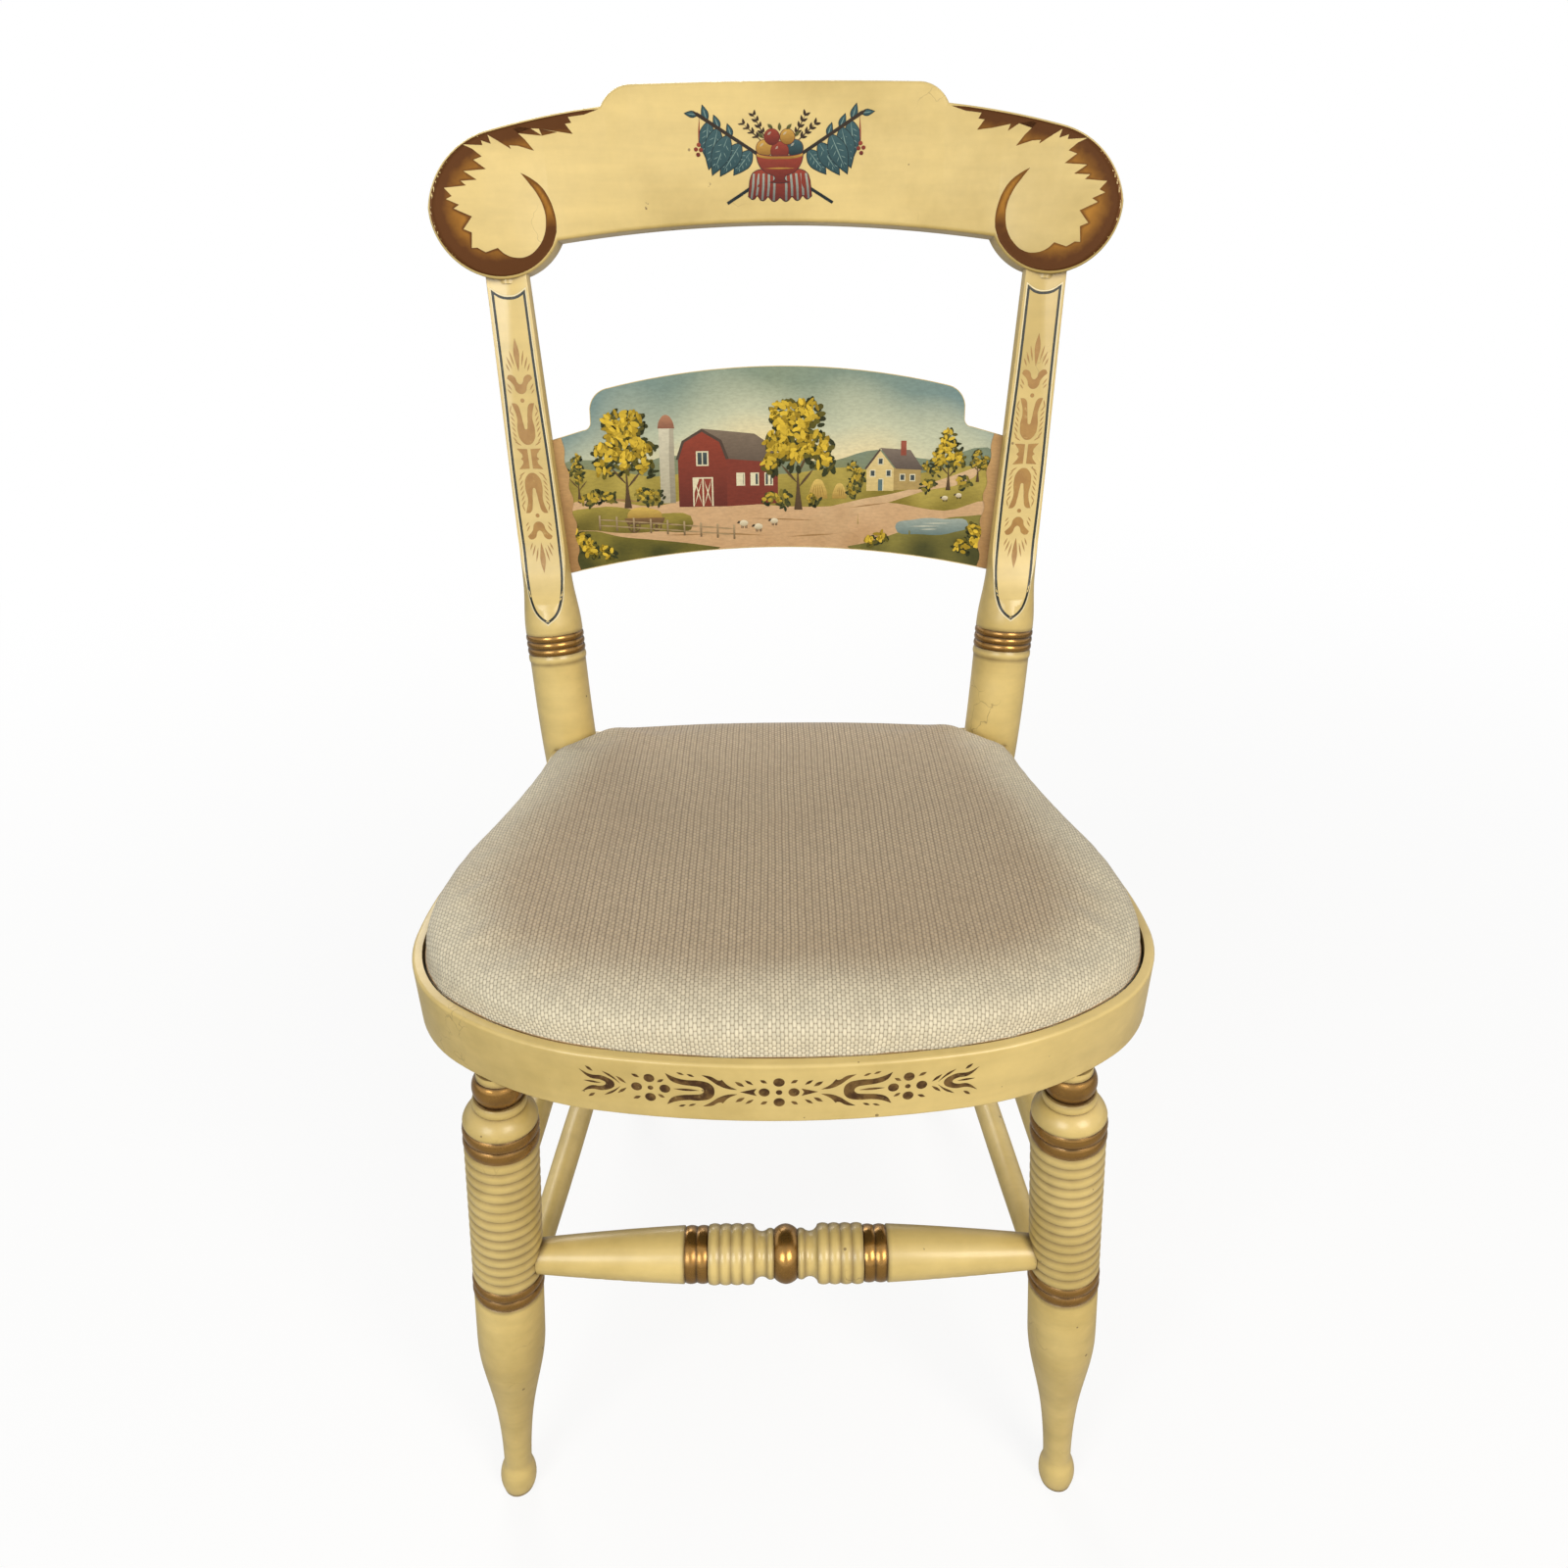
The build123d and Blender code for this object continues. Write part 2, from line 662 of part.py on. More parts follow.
# ---- the chair --------------------------------------------------------------------------------------
def build_chair():
    """Every piece of the chair by its name."""
    crest_prism = extrude(back_plane * crest_elevation(), far / 5, both=True)
    post = back_post(crest_prism)
    posts = [post, mirrored(post)]
    leg = front_leg()
    leg_tenons = [front_leg_tenon(), mirrored(front_leg_tenon())]
    post_tenons = [post_tenon(), mirrored(post_tenon())]

    hoop = seat_hoop(posts, leg_tenons)
    rail = back_rail(posts)
    slat = back_slat()
    crest = crest_rail(post_tenons)
    front = front_stretcher()
    upper_side = side_stretcher(upper_side_height)
    lower_side = side_stretcher(lower_side_height)
    rear = rear_stretcher()

    leg -= front
    for stretcher in (upper_side, lower_side):
        leg -= stretcher
        post -= stretcher
    for let_in in (rear, hoop, rail, slat):
        post -= let_in

    inner = seat_plan(rail_thickness, back_rail_front)
    front_block = corner_block(front_block_at, front_block_turn, inner, posts)
    back_block = corner_block(back_block_at, -45, inner, posts)
    board = seat_board()
    dust = dust_cover()
    screws = seat_screws()
    for screw in screws:
        front_block -= screw
        back_block -= screw
        board -= screw
        dust -= screw

    pieces = {
        "seat_hoop": hoop,
        "back_rail": rail,
        "crest_rail": crest,
        "back_slat": slat,
        "front_stretcher": front,
        "rear_stretcher": rear,
        "seat_board": board,
        "seat_pad": seat_pad(),
        "seat_cover": seat_cover(),
        "dust_cover": dust,
        "seat_screws": Compound(screws),
    }
    one_per_side = {
        "front_leg": leg,
        "back_post": post,
        "upper_side_stretcher": upper_side,
        "lower_side_stretcher": lower_side,
        "front_corner_block": front_block,
        "back_corner_block": back_block,
    }
    for name, piece in one_per_side.items():
        pieces[name + "_right"] = piece
        pieces[name + "_left"] = mirrored(piece)
    return pieces


def main():
    """Center the chair over the origin and write one file per piece."""
    pieces = build_chair()
    boxes = [piece.bounding_box() for piece in pieces.values()]
    middle = (min(box.min.Y for box in boxes) + max(box.max.Y for box in boxes)) / 2
    os.makedirs("parts", exist_ok=True)
    for name, piece in pieces.items():
        export_step(Pos(0, -middle, 0) * piece, f"parts/{name}.step")
    print(f"{len(pieces)} pieces, front of the seat at y = {-middle:.2f}")


main()
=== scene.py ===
"""Painted side chair: finishes, cushion and painted ornament round the frame of the chair."""
import math
import random

import bpy
from bpy.props import FloatProperty, FloatVectorProperty, PointerProperty
from mathutils import Matrix, Vector, noise as cloud


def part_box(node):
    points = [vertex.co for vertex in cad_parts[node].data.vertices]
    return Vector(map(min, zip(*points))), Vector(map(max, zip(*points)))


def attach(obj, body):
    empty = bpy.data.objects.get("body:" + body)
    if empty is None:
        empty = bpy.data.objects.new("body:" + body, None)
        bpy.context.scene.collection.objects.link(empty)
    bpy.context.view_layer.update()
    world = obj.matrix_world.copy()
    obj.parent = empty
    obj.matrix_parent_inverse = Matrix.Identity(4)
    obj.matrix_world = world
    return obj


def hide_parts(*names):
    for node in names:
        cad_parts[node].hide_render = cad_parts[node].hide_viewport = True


bl_info = {
    "name": "Painted Side Chair",
    "version": (1, 0, 0),
    "blender": (4, 5, 0),
    "location": "View3D > Sidebar > Chair",
    "description": "Builds the finishes, the cushion and the painted ornament of a side chair",
    "category": "Object",
}

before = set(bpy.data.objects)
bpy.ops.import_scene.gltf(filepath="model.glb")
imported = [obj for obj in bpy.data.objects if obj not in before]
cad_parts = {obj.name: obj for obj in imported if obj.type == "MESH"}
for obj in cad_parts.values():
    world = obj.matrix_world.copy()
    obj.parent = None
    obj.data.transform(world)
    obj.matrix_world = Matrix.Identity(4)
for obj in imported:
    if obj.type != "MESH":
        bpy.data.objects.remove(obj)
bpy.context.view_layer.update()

MM = 0.001
SEAT_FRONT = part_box("seat_hoop")[0].y
SEAT_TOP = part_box("seat_hoop")[1].z
SIDES = {"left": -1, "right": 1}

# axis of the right front leg, and the height at which the front stretcher meets it
LEG_HEIGHT = 0.391
LEG_FOOT = Vector((0.1953, SEAT_FRONT + 0.0256, 0.0))
LEG_TOP = Vector((0.1645, SEAT_FRONT + 0.0455, LEG_HEIGHT))
STRETCHER_HEIGHT = 0.235

# right half of the seat's edge seen from above, in millimetres from the middle of its front
SEAT_EDGE = ((0, 0), (60, 3), (101, 9), (150, 23), (189, 47), (212, 78), (223, 116), (218, 162),
             (208, 204), (193, 270), (177, 339))

# arched lower edge of the slat, in millimetres on the drawing of the back
ARCH_RADIUS, ARCH_CENTRE = 774.9, -626.1


# ---- sizes and colours ---------------------------------------------------------------------
def length(name, description, default):
    """A size in metres that a user can change."""
    return FloatProperty(name=name, description=description, default=default, unit="LENGTH")


def slope(name, description, degrees):
    """An angle that a user can change, given in degrees."""
    angle = math.radians(degrees)
    return FloatProperty(name=name, description=description, default=angle, subtype="ANGLE")


def paint(name, description, red, green, blue):
    """A linear colour that a user can change."""
    return FloatVectorProperty(
        name=name, description=description, default=(red, green, blue), subtype="COLOR", size=3
    )


class ChairFinish(bpy.types.PropertyGroup):
    """Colours of the paints, the cloth and the bare wood."""

    cream: paint("Cream", "Aged cream paint", 0.72, 0.545, 0.205)
    cream_dark: paint("Cream shade", "Yellowed patches of the paint", 0.53, 0.385, 0.120)
    # grime colour, also used for the painted shade in the grooves and crevices of the paint
    grime_and_shade: paint("Grime and shade", "Dirt in the grooves", 0.12, 0.065, 0.02)
    bronze: paint("Bronze", "Bronze powder paint", 0.38, 0.200, 0.044)
    # the bronze shade colour is also the painted shade in the bronze's grooves
    bronze_dark: paint("Bronze shade", "Brown glaze on the bronze", 0.060, 0.024, 0.006)
    rail_bronze: paint("Rail stencil", "Bright part of the rail stencil", 0.24, 0.135, 0.040)
    ear_gold: paint("Ear gold", "Bright part of the leaf borders", 0.37, 0.165, 0.022)
    ear_brown: paint("Ear brown", "Dark edge of the leaf borders", 0.080, 0.027, 0.005)
    tan: paint("Stencil tan", "Tan stencil on the posts", 0.44, 0.25, 0.062)
    tan_dark: paint("Stencil shade", "Thicker places of the tan stencil", 0.33, 0.165, 0.04)
    line: paint("Pinstripe", "Dark green line on the posts", 0.006, 0.011, 0.007)
    pale_line: paint("Pinstripe edge", "Pale line beside the dark one", 0.80, 0.69, 0.42)
    # pale and shade colours of the weave, mixed by its relief into painted light on the pearls and painted
    # shade in the hollows
    cloth_pale: paint("Cloth pale", "Raised pearls of the weave", 0.74, 0.67, 0.50)
    cloth_dark: paint("Cloth shade", "Hollows between the pearls", 0.25, 0.19, 0.115)
    cloth_worn: paint("Cloth worn", "Tan of the sat-on middle", 0.325, 0.224, 0.127)
    bare_wood: paint("Bare wood", "Hidden blocks and board", 0.46, 0.29, 0.14)


class ChairLayout(bpy.types.PropertyGroup):
    """Where the back, the legs and the seat lie, so that ornament lands on them."""

    back_rake: slope("Rake", "Lean of the back", 11.7)
    back_foot: length("Back foot", "Bend of the posts behind the seat front", 0.362)
    back_height: length("Back height", "Bend of the posts over the floor", 0.430)
    post_side: length("Post side", "Post axis from the middle at the bend", 0.1663)
    post_splay: FloatProperty(name="Splay", description="Outward lean of a post", default=0.0601)


class ChairCushion(bpy.types.PropertyGroup):
    """Shape and weave of the cushion."""

    voxel: length("Voxel", "Grid of the pad before its cloth simulation", 0.0045)
    cap: length("Swell", "Furthest that the pad may swell", 0.003)
    overhang: length("Overhang", "How far the cover leans over the seat frame at its sides", 0.0032)
    rib: length("Rib", "Width of one rib of the weave, two beads wide", 0.0044)
    bead: length("Bead", "Length of one bead of the weave", 0.0034)


class ChairStudio(bpy.types.PropertyGroup):
    """Camera, lamps and floor."""

    camera_side: length("Camera side", "Camera from the middle of the chair", -0.0018)
    camera_ahead: length("Camera ahead", "Camera in front of the seat", 0.4567)
    camera_height: length("Camera height", "Camera over the floor", 0.874)
    tilt: slope("Tilt", "Camera looks down", 30.6)
    turn: slope("Turn", "Camera turned left", 0.1)
    roll: slope("Roll", "Camera rolled", -0.6)
    shift: FloatProperty(name="Shift", description="Sideways shift of the lens", default=0.0047)
    focal: FloatProperty(name="Lens", description="Focal length in millimetres", default=27.11)


# ---- node helpers ----------------------------------------------------------------------------
def feed(tree, node, inputs):
    """Each named input of a node linked to a socket or given a value."""
    for key, value in inputs.items():
        if isinstance(value, bpy.types.NodeSocket):
            tree.links.new(value, node.inputs[key])
        else:
            node.inputs[key].default_value = value
    return node


def add(tree, kind, inputs=None, **settings):
    """A new node with its settings and its inputs."""
    node = tree.nodes.new(kind)
    for name, value in settings.items():
        setattr(node, name, value)
    return feed(tree, node, inputs or {})


def calc(tree, operation, first, second=0.0, third=0.0):
    """One sum on values."""
    inputs = {0: first, 1: second, 2: third}
    return add(tree, "ShaderNodeMath", inputs, operation=operation).outputs[0]


def strongest(tree, masks):
    """The strongest of several masks at each point."""
    result = masks[0]
    for mask in masks[1:]:
        result = calc(tree, "MAXIMUM", result, mask)
    return result


def mix(tree, share, first, second, blend="MIX"):
    """Two colours mixed."""
    inputs = {0: share, 6: first, 7: second}
    return add(tree, "ShaderNodeMix", inputs, data_type="RGBA", blend_type=blend).outputs[2]


def lifted(tree, color, lift):
    """A colour made lighter or darker by a value."""
    grey = add(tree, "ShaderNodeCombineColor", {0: lift, 1: lift, 2: lift}).outputs[0]
    return mix(tree, 1.0, color, grey, "MULTIPLY")


def soft_step(tree, value, start, end, low=0.0, high=1.0):
    """Smooth step from low to high between two values."""
    inputs = {"Value": value, "From Min": start, "From Max": end, "To Min": low, "To Max": high}
    return add(tree, "ShaderNodeMapRange", inputs, interpolation_type="SMOOTHSTEP").outputs[0]


def noise(tree, where, scale, detail=2.0, roughness=0.5, distortion=0.0):
    """Cloudy value about 0.5."""
    inputs = {"Vector": where, "Scale": scale, "Detail": detail, "Roughness": roughness,
              "Distortion": distortion}
    return add(tree, "ShaderNodeTexNoise", inputs).outputs[0]


def object_place(tree):
    """Where the point lies on the chair, in metres."""
    return add(tree, "ShaderNodeTexCoord").outputs["Object"]


def stretched(tree, where, scale):
    """The place with each axis scaled by itself."""
    return add(tree, "ShaderNodeMapping", {"Vector": where, "Scale": scale}).outputs[0]


def rgba(color):
    """A colour as four numbers."""
    return (color[0], color[1], color[2], 1.0)


def new_group(name, inputs, outputs):
    """An empty shader group with its sockets, or the one already made."""
    if name in bpy.data.node_groups:
        return bpy.data.node_groups[name], None, None
    group = bpy.data.node_groups.new(name, "ShaderNodeTree")
    for direction, sockets in (("INPUT", inputs), ("OUTPUT", outputs)):
        for socket, kind, default in sockets:
            kind = "NodeSocket" + kind
            made = group.interface.new_socket(socket, in_out=direction, socket_type=kind)
            if default is not None:
                made.default_value = default
    return group, group.nodes.new("NodeGroupInput"), group.nodes.new("NodeGroupOutput")


def use(tree, group, inputs):
    """A group placed in a material."""
    return add(tree, "ShaderNodeGroup", inputs, node_tree=group)


# ---- shared effects --------------------------------------------------------------------------
def aged_paint_group():
    """Cream paint with yellowed patches, faint streaks, specks, hairlines and chips, and painted shade
    darkening its grooves and corners.
    """
    inputs = [
        ("Paint", "Color", (0.7, 0.5, 0.2, 1)),
        ("Shade", "Color", (0.5, 0.35, 0.12, 1)),
        ("Grime and shade", "Color", (0.1, 0.06, 0.02, 1)),
        ("Specks", "Float", 1.0),
        ("Crevice shade", "Float", 1.0),
    ]
    outputs = [("Color", "Color", None), ("Roughness", "Float", None), ("Height", "Float", None)]
    group, entry, result = new_group("Aged paint", inputs, outputs)
    if entry is None:
        return group
    place = object_place(group)
    patches = soft_step(group, noise(group, place, 9.0, 5.0, 0.6), 0.38, 0.72)
    fine = noise(group, place, 120.0, 3.0, 0.6)
    yellowed = calc(group, "MULTIPLY", patches, 0.9)
    color = mix(group, yellowed, entry.outputs["Paint"], entry.outputs["Shade"])
    streaks = noise(group, stretched(group, place, (7.0, 60.0, 90.0)), 1.0, 3.0, 0.6)
    lift = calc(group, "MULTIPLY_ADD", fine, 0.12, calc(group, "MULTIPLY_ADD", streaks, 0.26, 0.79))
    color = lifted(group, color, lift)

    cells = add(group, "ShaderNodeTexVoronoi", {"Vector": place, "Scale": 75.0}, feature="F1")
    chosen = add(group, "ShaderNodeSeparateColor", {0: cells.outputs["Color"]})
    size = calc(group, "MULTIPLY", chosen.outputs[1], 0.09)
    speck = calc(group, "LESS_THAN", cells.outputs["Distance"], size)
    rare = calc(group, "GREATER_THAN", chosen.outputs[0], 0.62)
    speck = calc(group, "MULTIPLY", calc(group, "MULTIPLY", speck, rare), 0.7)

    bent = {"Vector": place, "Scale": 40.0, "Detail": 3.0}
    bent = mix(group, 0.05, place, add(group, "ShaderNodeTexNoise", bent).outputs["Color"])
    edges = add(group, "ShaderNodeTexVoronoi", {"Vector": bent, "Scale": 26.0}, feature="DISTANCE_TO_EDGE")
    hairline = soft_step(group, edges.outputs["Distance"], 0.0, 0.012, 1.0, 0.0)
    crazed = soft_step(group, noise(group, place, 14.0, 2.0), 0.60, 0.70)
    hairline = calc(group, "MULTIPLY", calc(group, "MULTIPLY", hairline, crazed), 0.45)

    chip = soft_step(group, noise(group, place, 62.0, 4.0, 0.62), 0.735, 0.755)
    chip = calc(group, "MULTIPLY", chip, 0.75)

    # painted shade: the paint is darkened towards the grime colour where ambient occlusion finds nearby
    # surfaces, in grooves and corners
    crevice = add(group, "ShaderNodeAmbientOcclusion", {"Distance": 0.006}, samples=8)
    crevice_shade = soft_step(group, crevice.outputs["AO"], 0.45, 0.97, 1.0, 0.0)
    crevice_shade = calc(group, "MULTIPLY", crevice_shade, entry.outputs["Crevice shade"])
    crevice_shade = calc(group, "MULTIPLY", crevice_shade, calc(group, "MULTIPLY_ADD", fine, 0.8, 0.35))

    marks = calc(group, "MULTIPLY", strongest(group, [speck, hairline, chip]), entry.outputs["Specks"])
    # real specks, hairlines and chips, together with the painted shade in the crevices, darken the paint with
    # one colour
    shade_and_grime_mask = calc(group, "MAXIMUM", marks, crevice_shade)
    gloss = calc(group, "MULTIPLY_ADD", patches, 0.10, 0.34)
    height = calc(group, "MULTIPLY", fine, 0.12)
    height = calc(group, "MULTIPLY_ADD", noise(group, place, 28.0, 3.0), 0.6, height)
    feed(group, result, {
        "Color": mix(group, shade_and_grime_mask, color, entry.outputs["Grime and shade"]),
        "Roughness": calc(group, "MULTIPLY_ADD", shade_and_grime_mask, 0.25, gloss),
        "Height": calc(group, "MULTIPLY_ADD", marks, -0.25, height),
    })
    return group


def bronze_group():
    """Bronze powder paint under a patchy brown glaze, with painted shade darkening its grooves."""
    inputs = [("Bronze", "Color", (0.4, 0.2, 0.05, 1)), ("Shade", "Color", (0.1, 0.04, 0.01, 1)),
              ("Crevice shade", "Float", 1.0)]
    outputs = [("Color", "Color", None), ("Roughness", "Float", None)]
    group, entry, result = new_group("Bronze paint", inputs, outputs)
    if entry is None:
        return group
    place = object_place(group)
    clouds = soft_step(group, noise(group, place, 45.0, 4.0, 0.65), 0.40, 0.70)
    # painted shade: the bronze darkens towards its shade colour where ambient occlusion finds nearby
    # surfaces, in the grooves
    crevice = add(group, "ShaderNodeAmbientOcclusion", {"Distance": 0.005}, samples=6, only_local=True)
    crevice_shade = soft_step(group, crevice.outputs["AO"], 0.5, 0.98, 1.0, 0.0)
    crevice_shade = calc(group, "MULTIPLY", crevice_shade, entry.outputs["Crevice shade"])
    # the darkening joins the glaze's random patches with the painted shade in the grooves
    shade = calc(group, "MAXIMUM", calc(group, "MULTIPLY", clouds, 0.35), crevice_shade)
    feed(group, result, {
        "Color": mix(group, shade, entry.outputs["Bronze"], entry.outputs["Shade"]),
        "Roughness": calc(group, "MULTIPLY_ADD", clouds, 0.14, 0.22),
    })
    return group


def band_group():
    """Mask of a painted band between two places along an axis."""
    inputs = [("Place", "Float", 0.0), ("Start", "Float", 0.0), ("End", "Float", 1.0)]
    group, entry, result = new_group("Painted band", inputs, [("Mask", "Float", None)])
    if entry is None:
        return group
    start, end, edge = entry.outputs["Start"], entry.outputs["End"], 0.15 * MM
    wander = noise(group, object_place(group), 90.0, 2.0)
    place = calc(group, "SUBTRACT", entry.outputs["Place"], 0.4 * MM)
    place = calc(group, "MULTIPLY_ADD", wander, 0.8 * MM, place)
    spans = [(calc(group, "SUBTRACT", at, edge), calc(group, "ADD", at, edge)) for at in (start, end)]
    rise, fall = soft_step(group, place, *spans[0]), soft_step(group, place, *spans[1], 1.0, 0.0)
    feed(group, result, {"Mask": calc(group, "MULTIPLY", rise, fall)})
    return group


def grooves_group():
    """Mask of grime and painted shade in a row of turned grooves: 1 at the bottom of each groove, 0 on the
    beads.
    """
    inputs = [("Place", "Float", 0.0), ("Start", "Float", 0.0), ("Pitch", "Float", 0.01),
              ("Count", "Float", 1.0)]
    group, entry, result = new_group("Turned grooves", inputs, [("Mask", "Float", None)])
    if entry is None:
        return group
    pitch = entry.outputs["Pitch"]
    steps = calc(group, "SUBTRACT", entry.outputs["Place"], entry.outputs["Start"])
    steps = calc(group, "DIVIDE", steps, pitch)
    nearest = calc(group, "MAXIMUM", calc(group, "ROUND", steps), 0.0)
    nearest = calc(group, "MINIMUM", nearest, entry.outputs["Count"])
    away = calc(group, "MULTIPLY", calc(group, "ABSOLUTE", calc(group, "SUBTRACT", steps, nearest)), pitch)
    uneven = noise(group, object_place(group), 55.0, 3.0)
    reach = calc(group, "MULTIPLY_ADD", uneven, 3.0 * MM, 1.4 * MM)
    depth = calc(group, "SUBTRACT", 1.0, calc(group, "DIVIDE", away, reach))
    depth = calc(group, "POWER", calc(group, "MAXIMUM", depth, 0.0), 1.3)
    amount = calc(group, "MULTIPLY_ADD", uneven, 0.7, 0.35)
    feed(group, result, {"Mask": calc(group, "MULTIPLY", depth, amount)})
    return group


# ---- materials -------------------------------------------------------------------------------
def new_material(name):
    """A material with an empty tree, its shader and its output."""
    material = bpy.data.materials.new(name)
    material.use_nodes = True
    tree = material.node_tree
    tree.nodes.clear()
    shader = add(tree, "ShaderNodeBsdfPrincipled")
    add(tree, "ShaderNodeOutputMaterial", {0: shader.outputs[0]})
    return material, tree, shader


def roughen(tree, shader, height, distance, strength=1.0):
    """A height worked into the shader's normal."""
    bump = add(tree, "ShaderNodeBump", {"Height": height, "Distance": distance, "Strength": strength})
    feed(tree, shader, {"Normal": bump.outputs[0]})


def along_axis(tree, start, end):
    """Distance along an axis of the right half, mirrored for the left half."""
    place = add(tree, "ShaderNodeSeparateXYZ", {0: object_place(tree)})
    across = calc(tree, "ABSOLUTE", place.outputs[0])
    right = add(tree, "ShaderNodeCombineXYZ", {0: across, 1: place.outputs[1], 2: place.outputs[2]})
    offset = add(tree, "ShaderNodeVectorMath", {0: right.outputs[0], 1: start}, operation="SUBTRACT")
    inputs = {0: offset.outputs[0], 1: (end - start).normalized()}
    return add(tree, "ShaderNodeVectorMath", inputs, operation="DOT_PRODUCT").outputs["Value"]


def painted_wood(name, start=None, end=None, bands=(), grooves=()):
    """Aged cream paint, with bronze bands, and grime and painted shade in the grooves, at the given places
    along an axis.
    """
    finish = bpy.context.scene.chair_finish
    material, tree, shader = new_material(name)
    inputs = {"Paint": rgba(finish.cream), "Shade": rgba(finish.cream_dark), "Grime and shade": rgba(finish.grime_and_shade)}
    cream = use(tree, aged_paint_group(), inputs)
    color, gloss = cream.outputs["Color"], cream.outputs["Roughness"]
    if bands:
        place = along_axis(tree, start, end)
        spans = [{"Place": place, "Start": low, "End": high} for low, high in bands]
        mask = strongest(tree, [use(tree, band_group(), span).outputs[0] for span in spans])
        inputs = {"Bronze": rgba(finish.bronze), "Shade": rgba(finish.bronze_dark)}
        bronze = use(tree, bronze_group(), inputs)
        color = mix(tree, mask, color, bronze.outputs["Color"])
        gloss = calc(tree, "MULTIPLY", gloss, calc(tree, "SUBTRACT", 1.0, mask))
        gloss = calc(tree, "ADD", gloss, calc(tree, "MULTIPLY", bronze.outputs["Roughness"], mask))
        feed(tree, shader, {"Metallic": calc(tree, "MULTIPLY", mask, 0.8)})
        # painted shade with grime: each turned groove is darkened, narrower and darker on the bronze
        rows = [{"Place": place, "Start": first, "Pitch": pitch, "Count": count}
                for first, pitch, count in grooves]
        shade_and_grime_mask = strongest(tree, [use(tree, grooves_group(), row).outputs[0] for row in rows])
        shade_and_grime_mask = calc(tree, "MULTIPLY", shade_and_grime_mask, calc(tree, "MULTIPLY_ADD", mask, 0.35, 1.0))
        shade_and_grime_mask = calc(tree, "POWER", shade_and_grime_mask, calc(tree, "MULTIPLY_ADD", mask, 2.0, 1.0))
        shade_and_grime_mask = calc(tree, "MULTIPLY", shade_and_grime_mask, calc(tree, "MULTIPLY_ADD", mask, 0.6, 0.8))
        color = mix(tree, shade_and_grime_mask, color, rgba(finish.grime_and_shade))
    feed(tree, shader, {"Base Color": color, "Roughness": gloss, "Coat Weight": 0.3, "Coat Roughness": 0.2})
    roughen(tree, shader, cream.outputs["Height"], 0.25 * MM)
    return material


def bare_wood(name, tone):
    """Bare wood with grain along X."""
    finish = bpy.context.scene.chair_finish
    material, tree, shader = new_material(name)
    place = stretched(tree, object_place(tree), (6.0, 60.0, 60.0))
    grain = noise(tree, place, 2.0, 6.0, 0.65, 0.4)
    light = [channel * tone for channel in finish.bare_wood]
    dark = [channel * tone * 0.55 for channel in finish.bare_wood]
    color = mix(tree, soft_step(tree, grain, 0.35, 0.7), rgba(light), rgba(dark))
    feed(tree, shader, {"Base Color": color, "Roughness": 0.7})
    roughen(tree, shader, grain, 0.2 * MM)
    return material


def screw_steel():
    """Dull steel of the screws."""
    material, tree, shader = new_material("screw_steel")
    clouds = noise(tree, object_place(tree), 300.0, 3.0)
    feed(tree, shader, {
        "Base Color": mix(tree, clouds, (0.42, 0.40, 0.37, 1), (0.26, 0.24, 0.21, 1)),
        "Roughness": soft_step(tree, clouds, 0.3, 0.7, 0.3, 0.5),
        "Metallic": 1.0,
    })
    return material


def dust_cloth():
    """Thin black cloth under the seat."""
    material, tree, shader = new_material("dust_cloth")
    place = object_place(tree)
    parts = add(tree, "ShaderNodeSeparateXYZ", {0: place})
    thread = 2 * math.pi / (1.1 * MM)
    threads = [calc(tree, "SINE", calc(tree, "MULTIPLY", parts.outputs[i], thread)) for i in (0, 1)]
    weave = calc(tree, "MULTIPLY", threads[0], threads[1])
    color = mix(tree, noise(tree, place, 60.0, 3.0), (0.012, 0.011, 0.010, 1), (0.035, 0.032, 0.028, 1))
    feed(tree, shader, {"Base Color": color, "Roughness": 0.9})
    roughen(tree, shader, weave, 0.15 * MM, 0.5)
    return material


# ---- modelling helpers -------------------------------------------------------------------------
def only(piece):
    """The piece alone is selected and active."""
    bpy.ops.object.select_all(action="DESELECT")
    piece.select_set(True)
    bpy.context.view_layer.objects.active = piece


def edit(piece):
    """The piece alone, in edit mode, with all of it selected."""
    only(piece)
    bpy.ops.object.mode_set(mode="EDIT")
    bpy.ops.mesh.select_all(action="SELECT")


def edited():
    """Back from edit mode."""
    bpy.ops.object.mode_set(mode="OBJECT")


def clamp(value):
    """The value, kept between 0 and 1."""
    return min(max(value, 0.0), 1.0)


def apply_modifier(piece, kind, **settings):
    """A modifier added, set and applied."""
    only(piece)
    modifier = piece.modifiers.new(kind.title(), kind)
    for key, value in settings.items():
        setattr(modifier, key, value)
    bpy.ops.object.modifier_apply(modifier=modifier.name)


def placed(name, data):
    """A new piece in the scene."""
    piece = bpy.data.objects.new(name, data)
    bpy.context.scene.collection.objects.link(piece)
    return piece


def copy_of(node, name, sharp=30.0):
    """The node's shape as a new piece, with its triangles merged and shaded smooth."""
    piece = placed(name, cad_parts[node].data.copy())
    only(piece)
    if piece.data.has_custom_normals:
        bpy.ops.mesh.customdata_custom_splitnormals_clear()
    edit(piece)
    bpy.ops.mesh.remove_doubles(threshold=0.000004)
    edited()
    bpy.ops.object.shade_smooth_by_angle(angle=math.radians(sharp))
    return piece


def dress(piece, slot, *materials):
    """The piece's materials; the slot that it stands for is not used."""
    piece.data.materials.clear()
    for material in materials:
        piece.data.materials.append(material)
    return piece


def stand_in(node, slot, material, sharp=30.0):
    """A smooth copy of a node that takes its place."""
    piece = dress(copy_of(node, node + "_painted", sharp), slot, material)
    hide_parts(node)
    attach(piece, "root")
    return piece


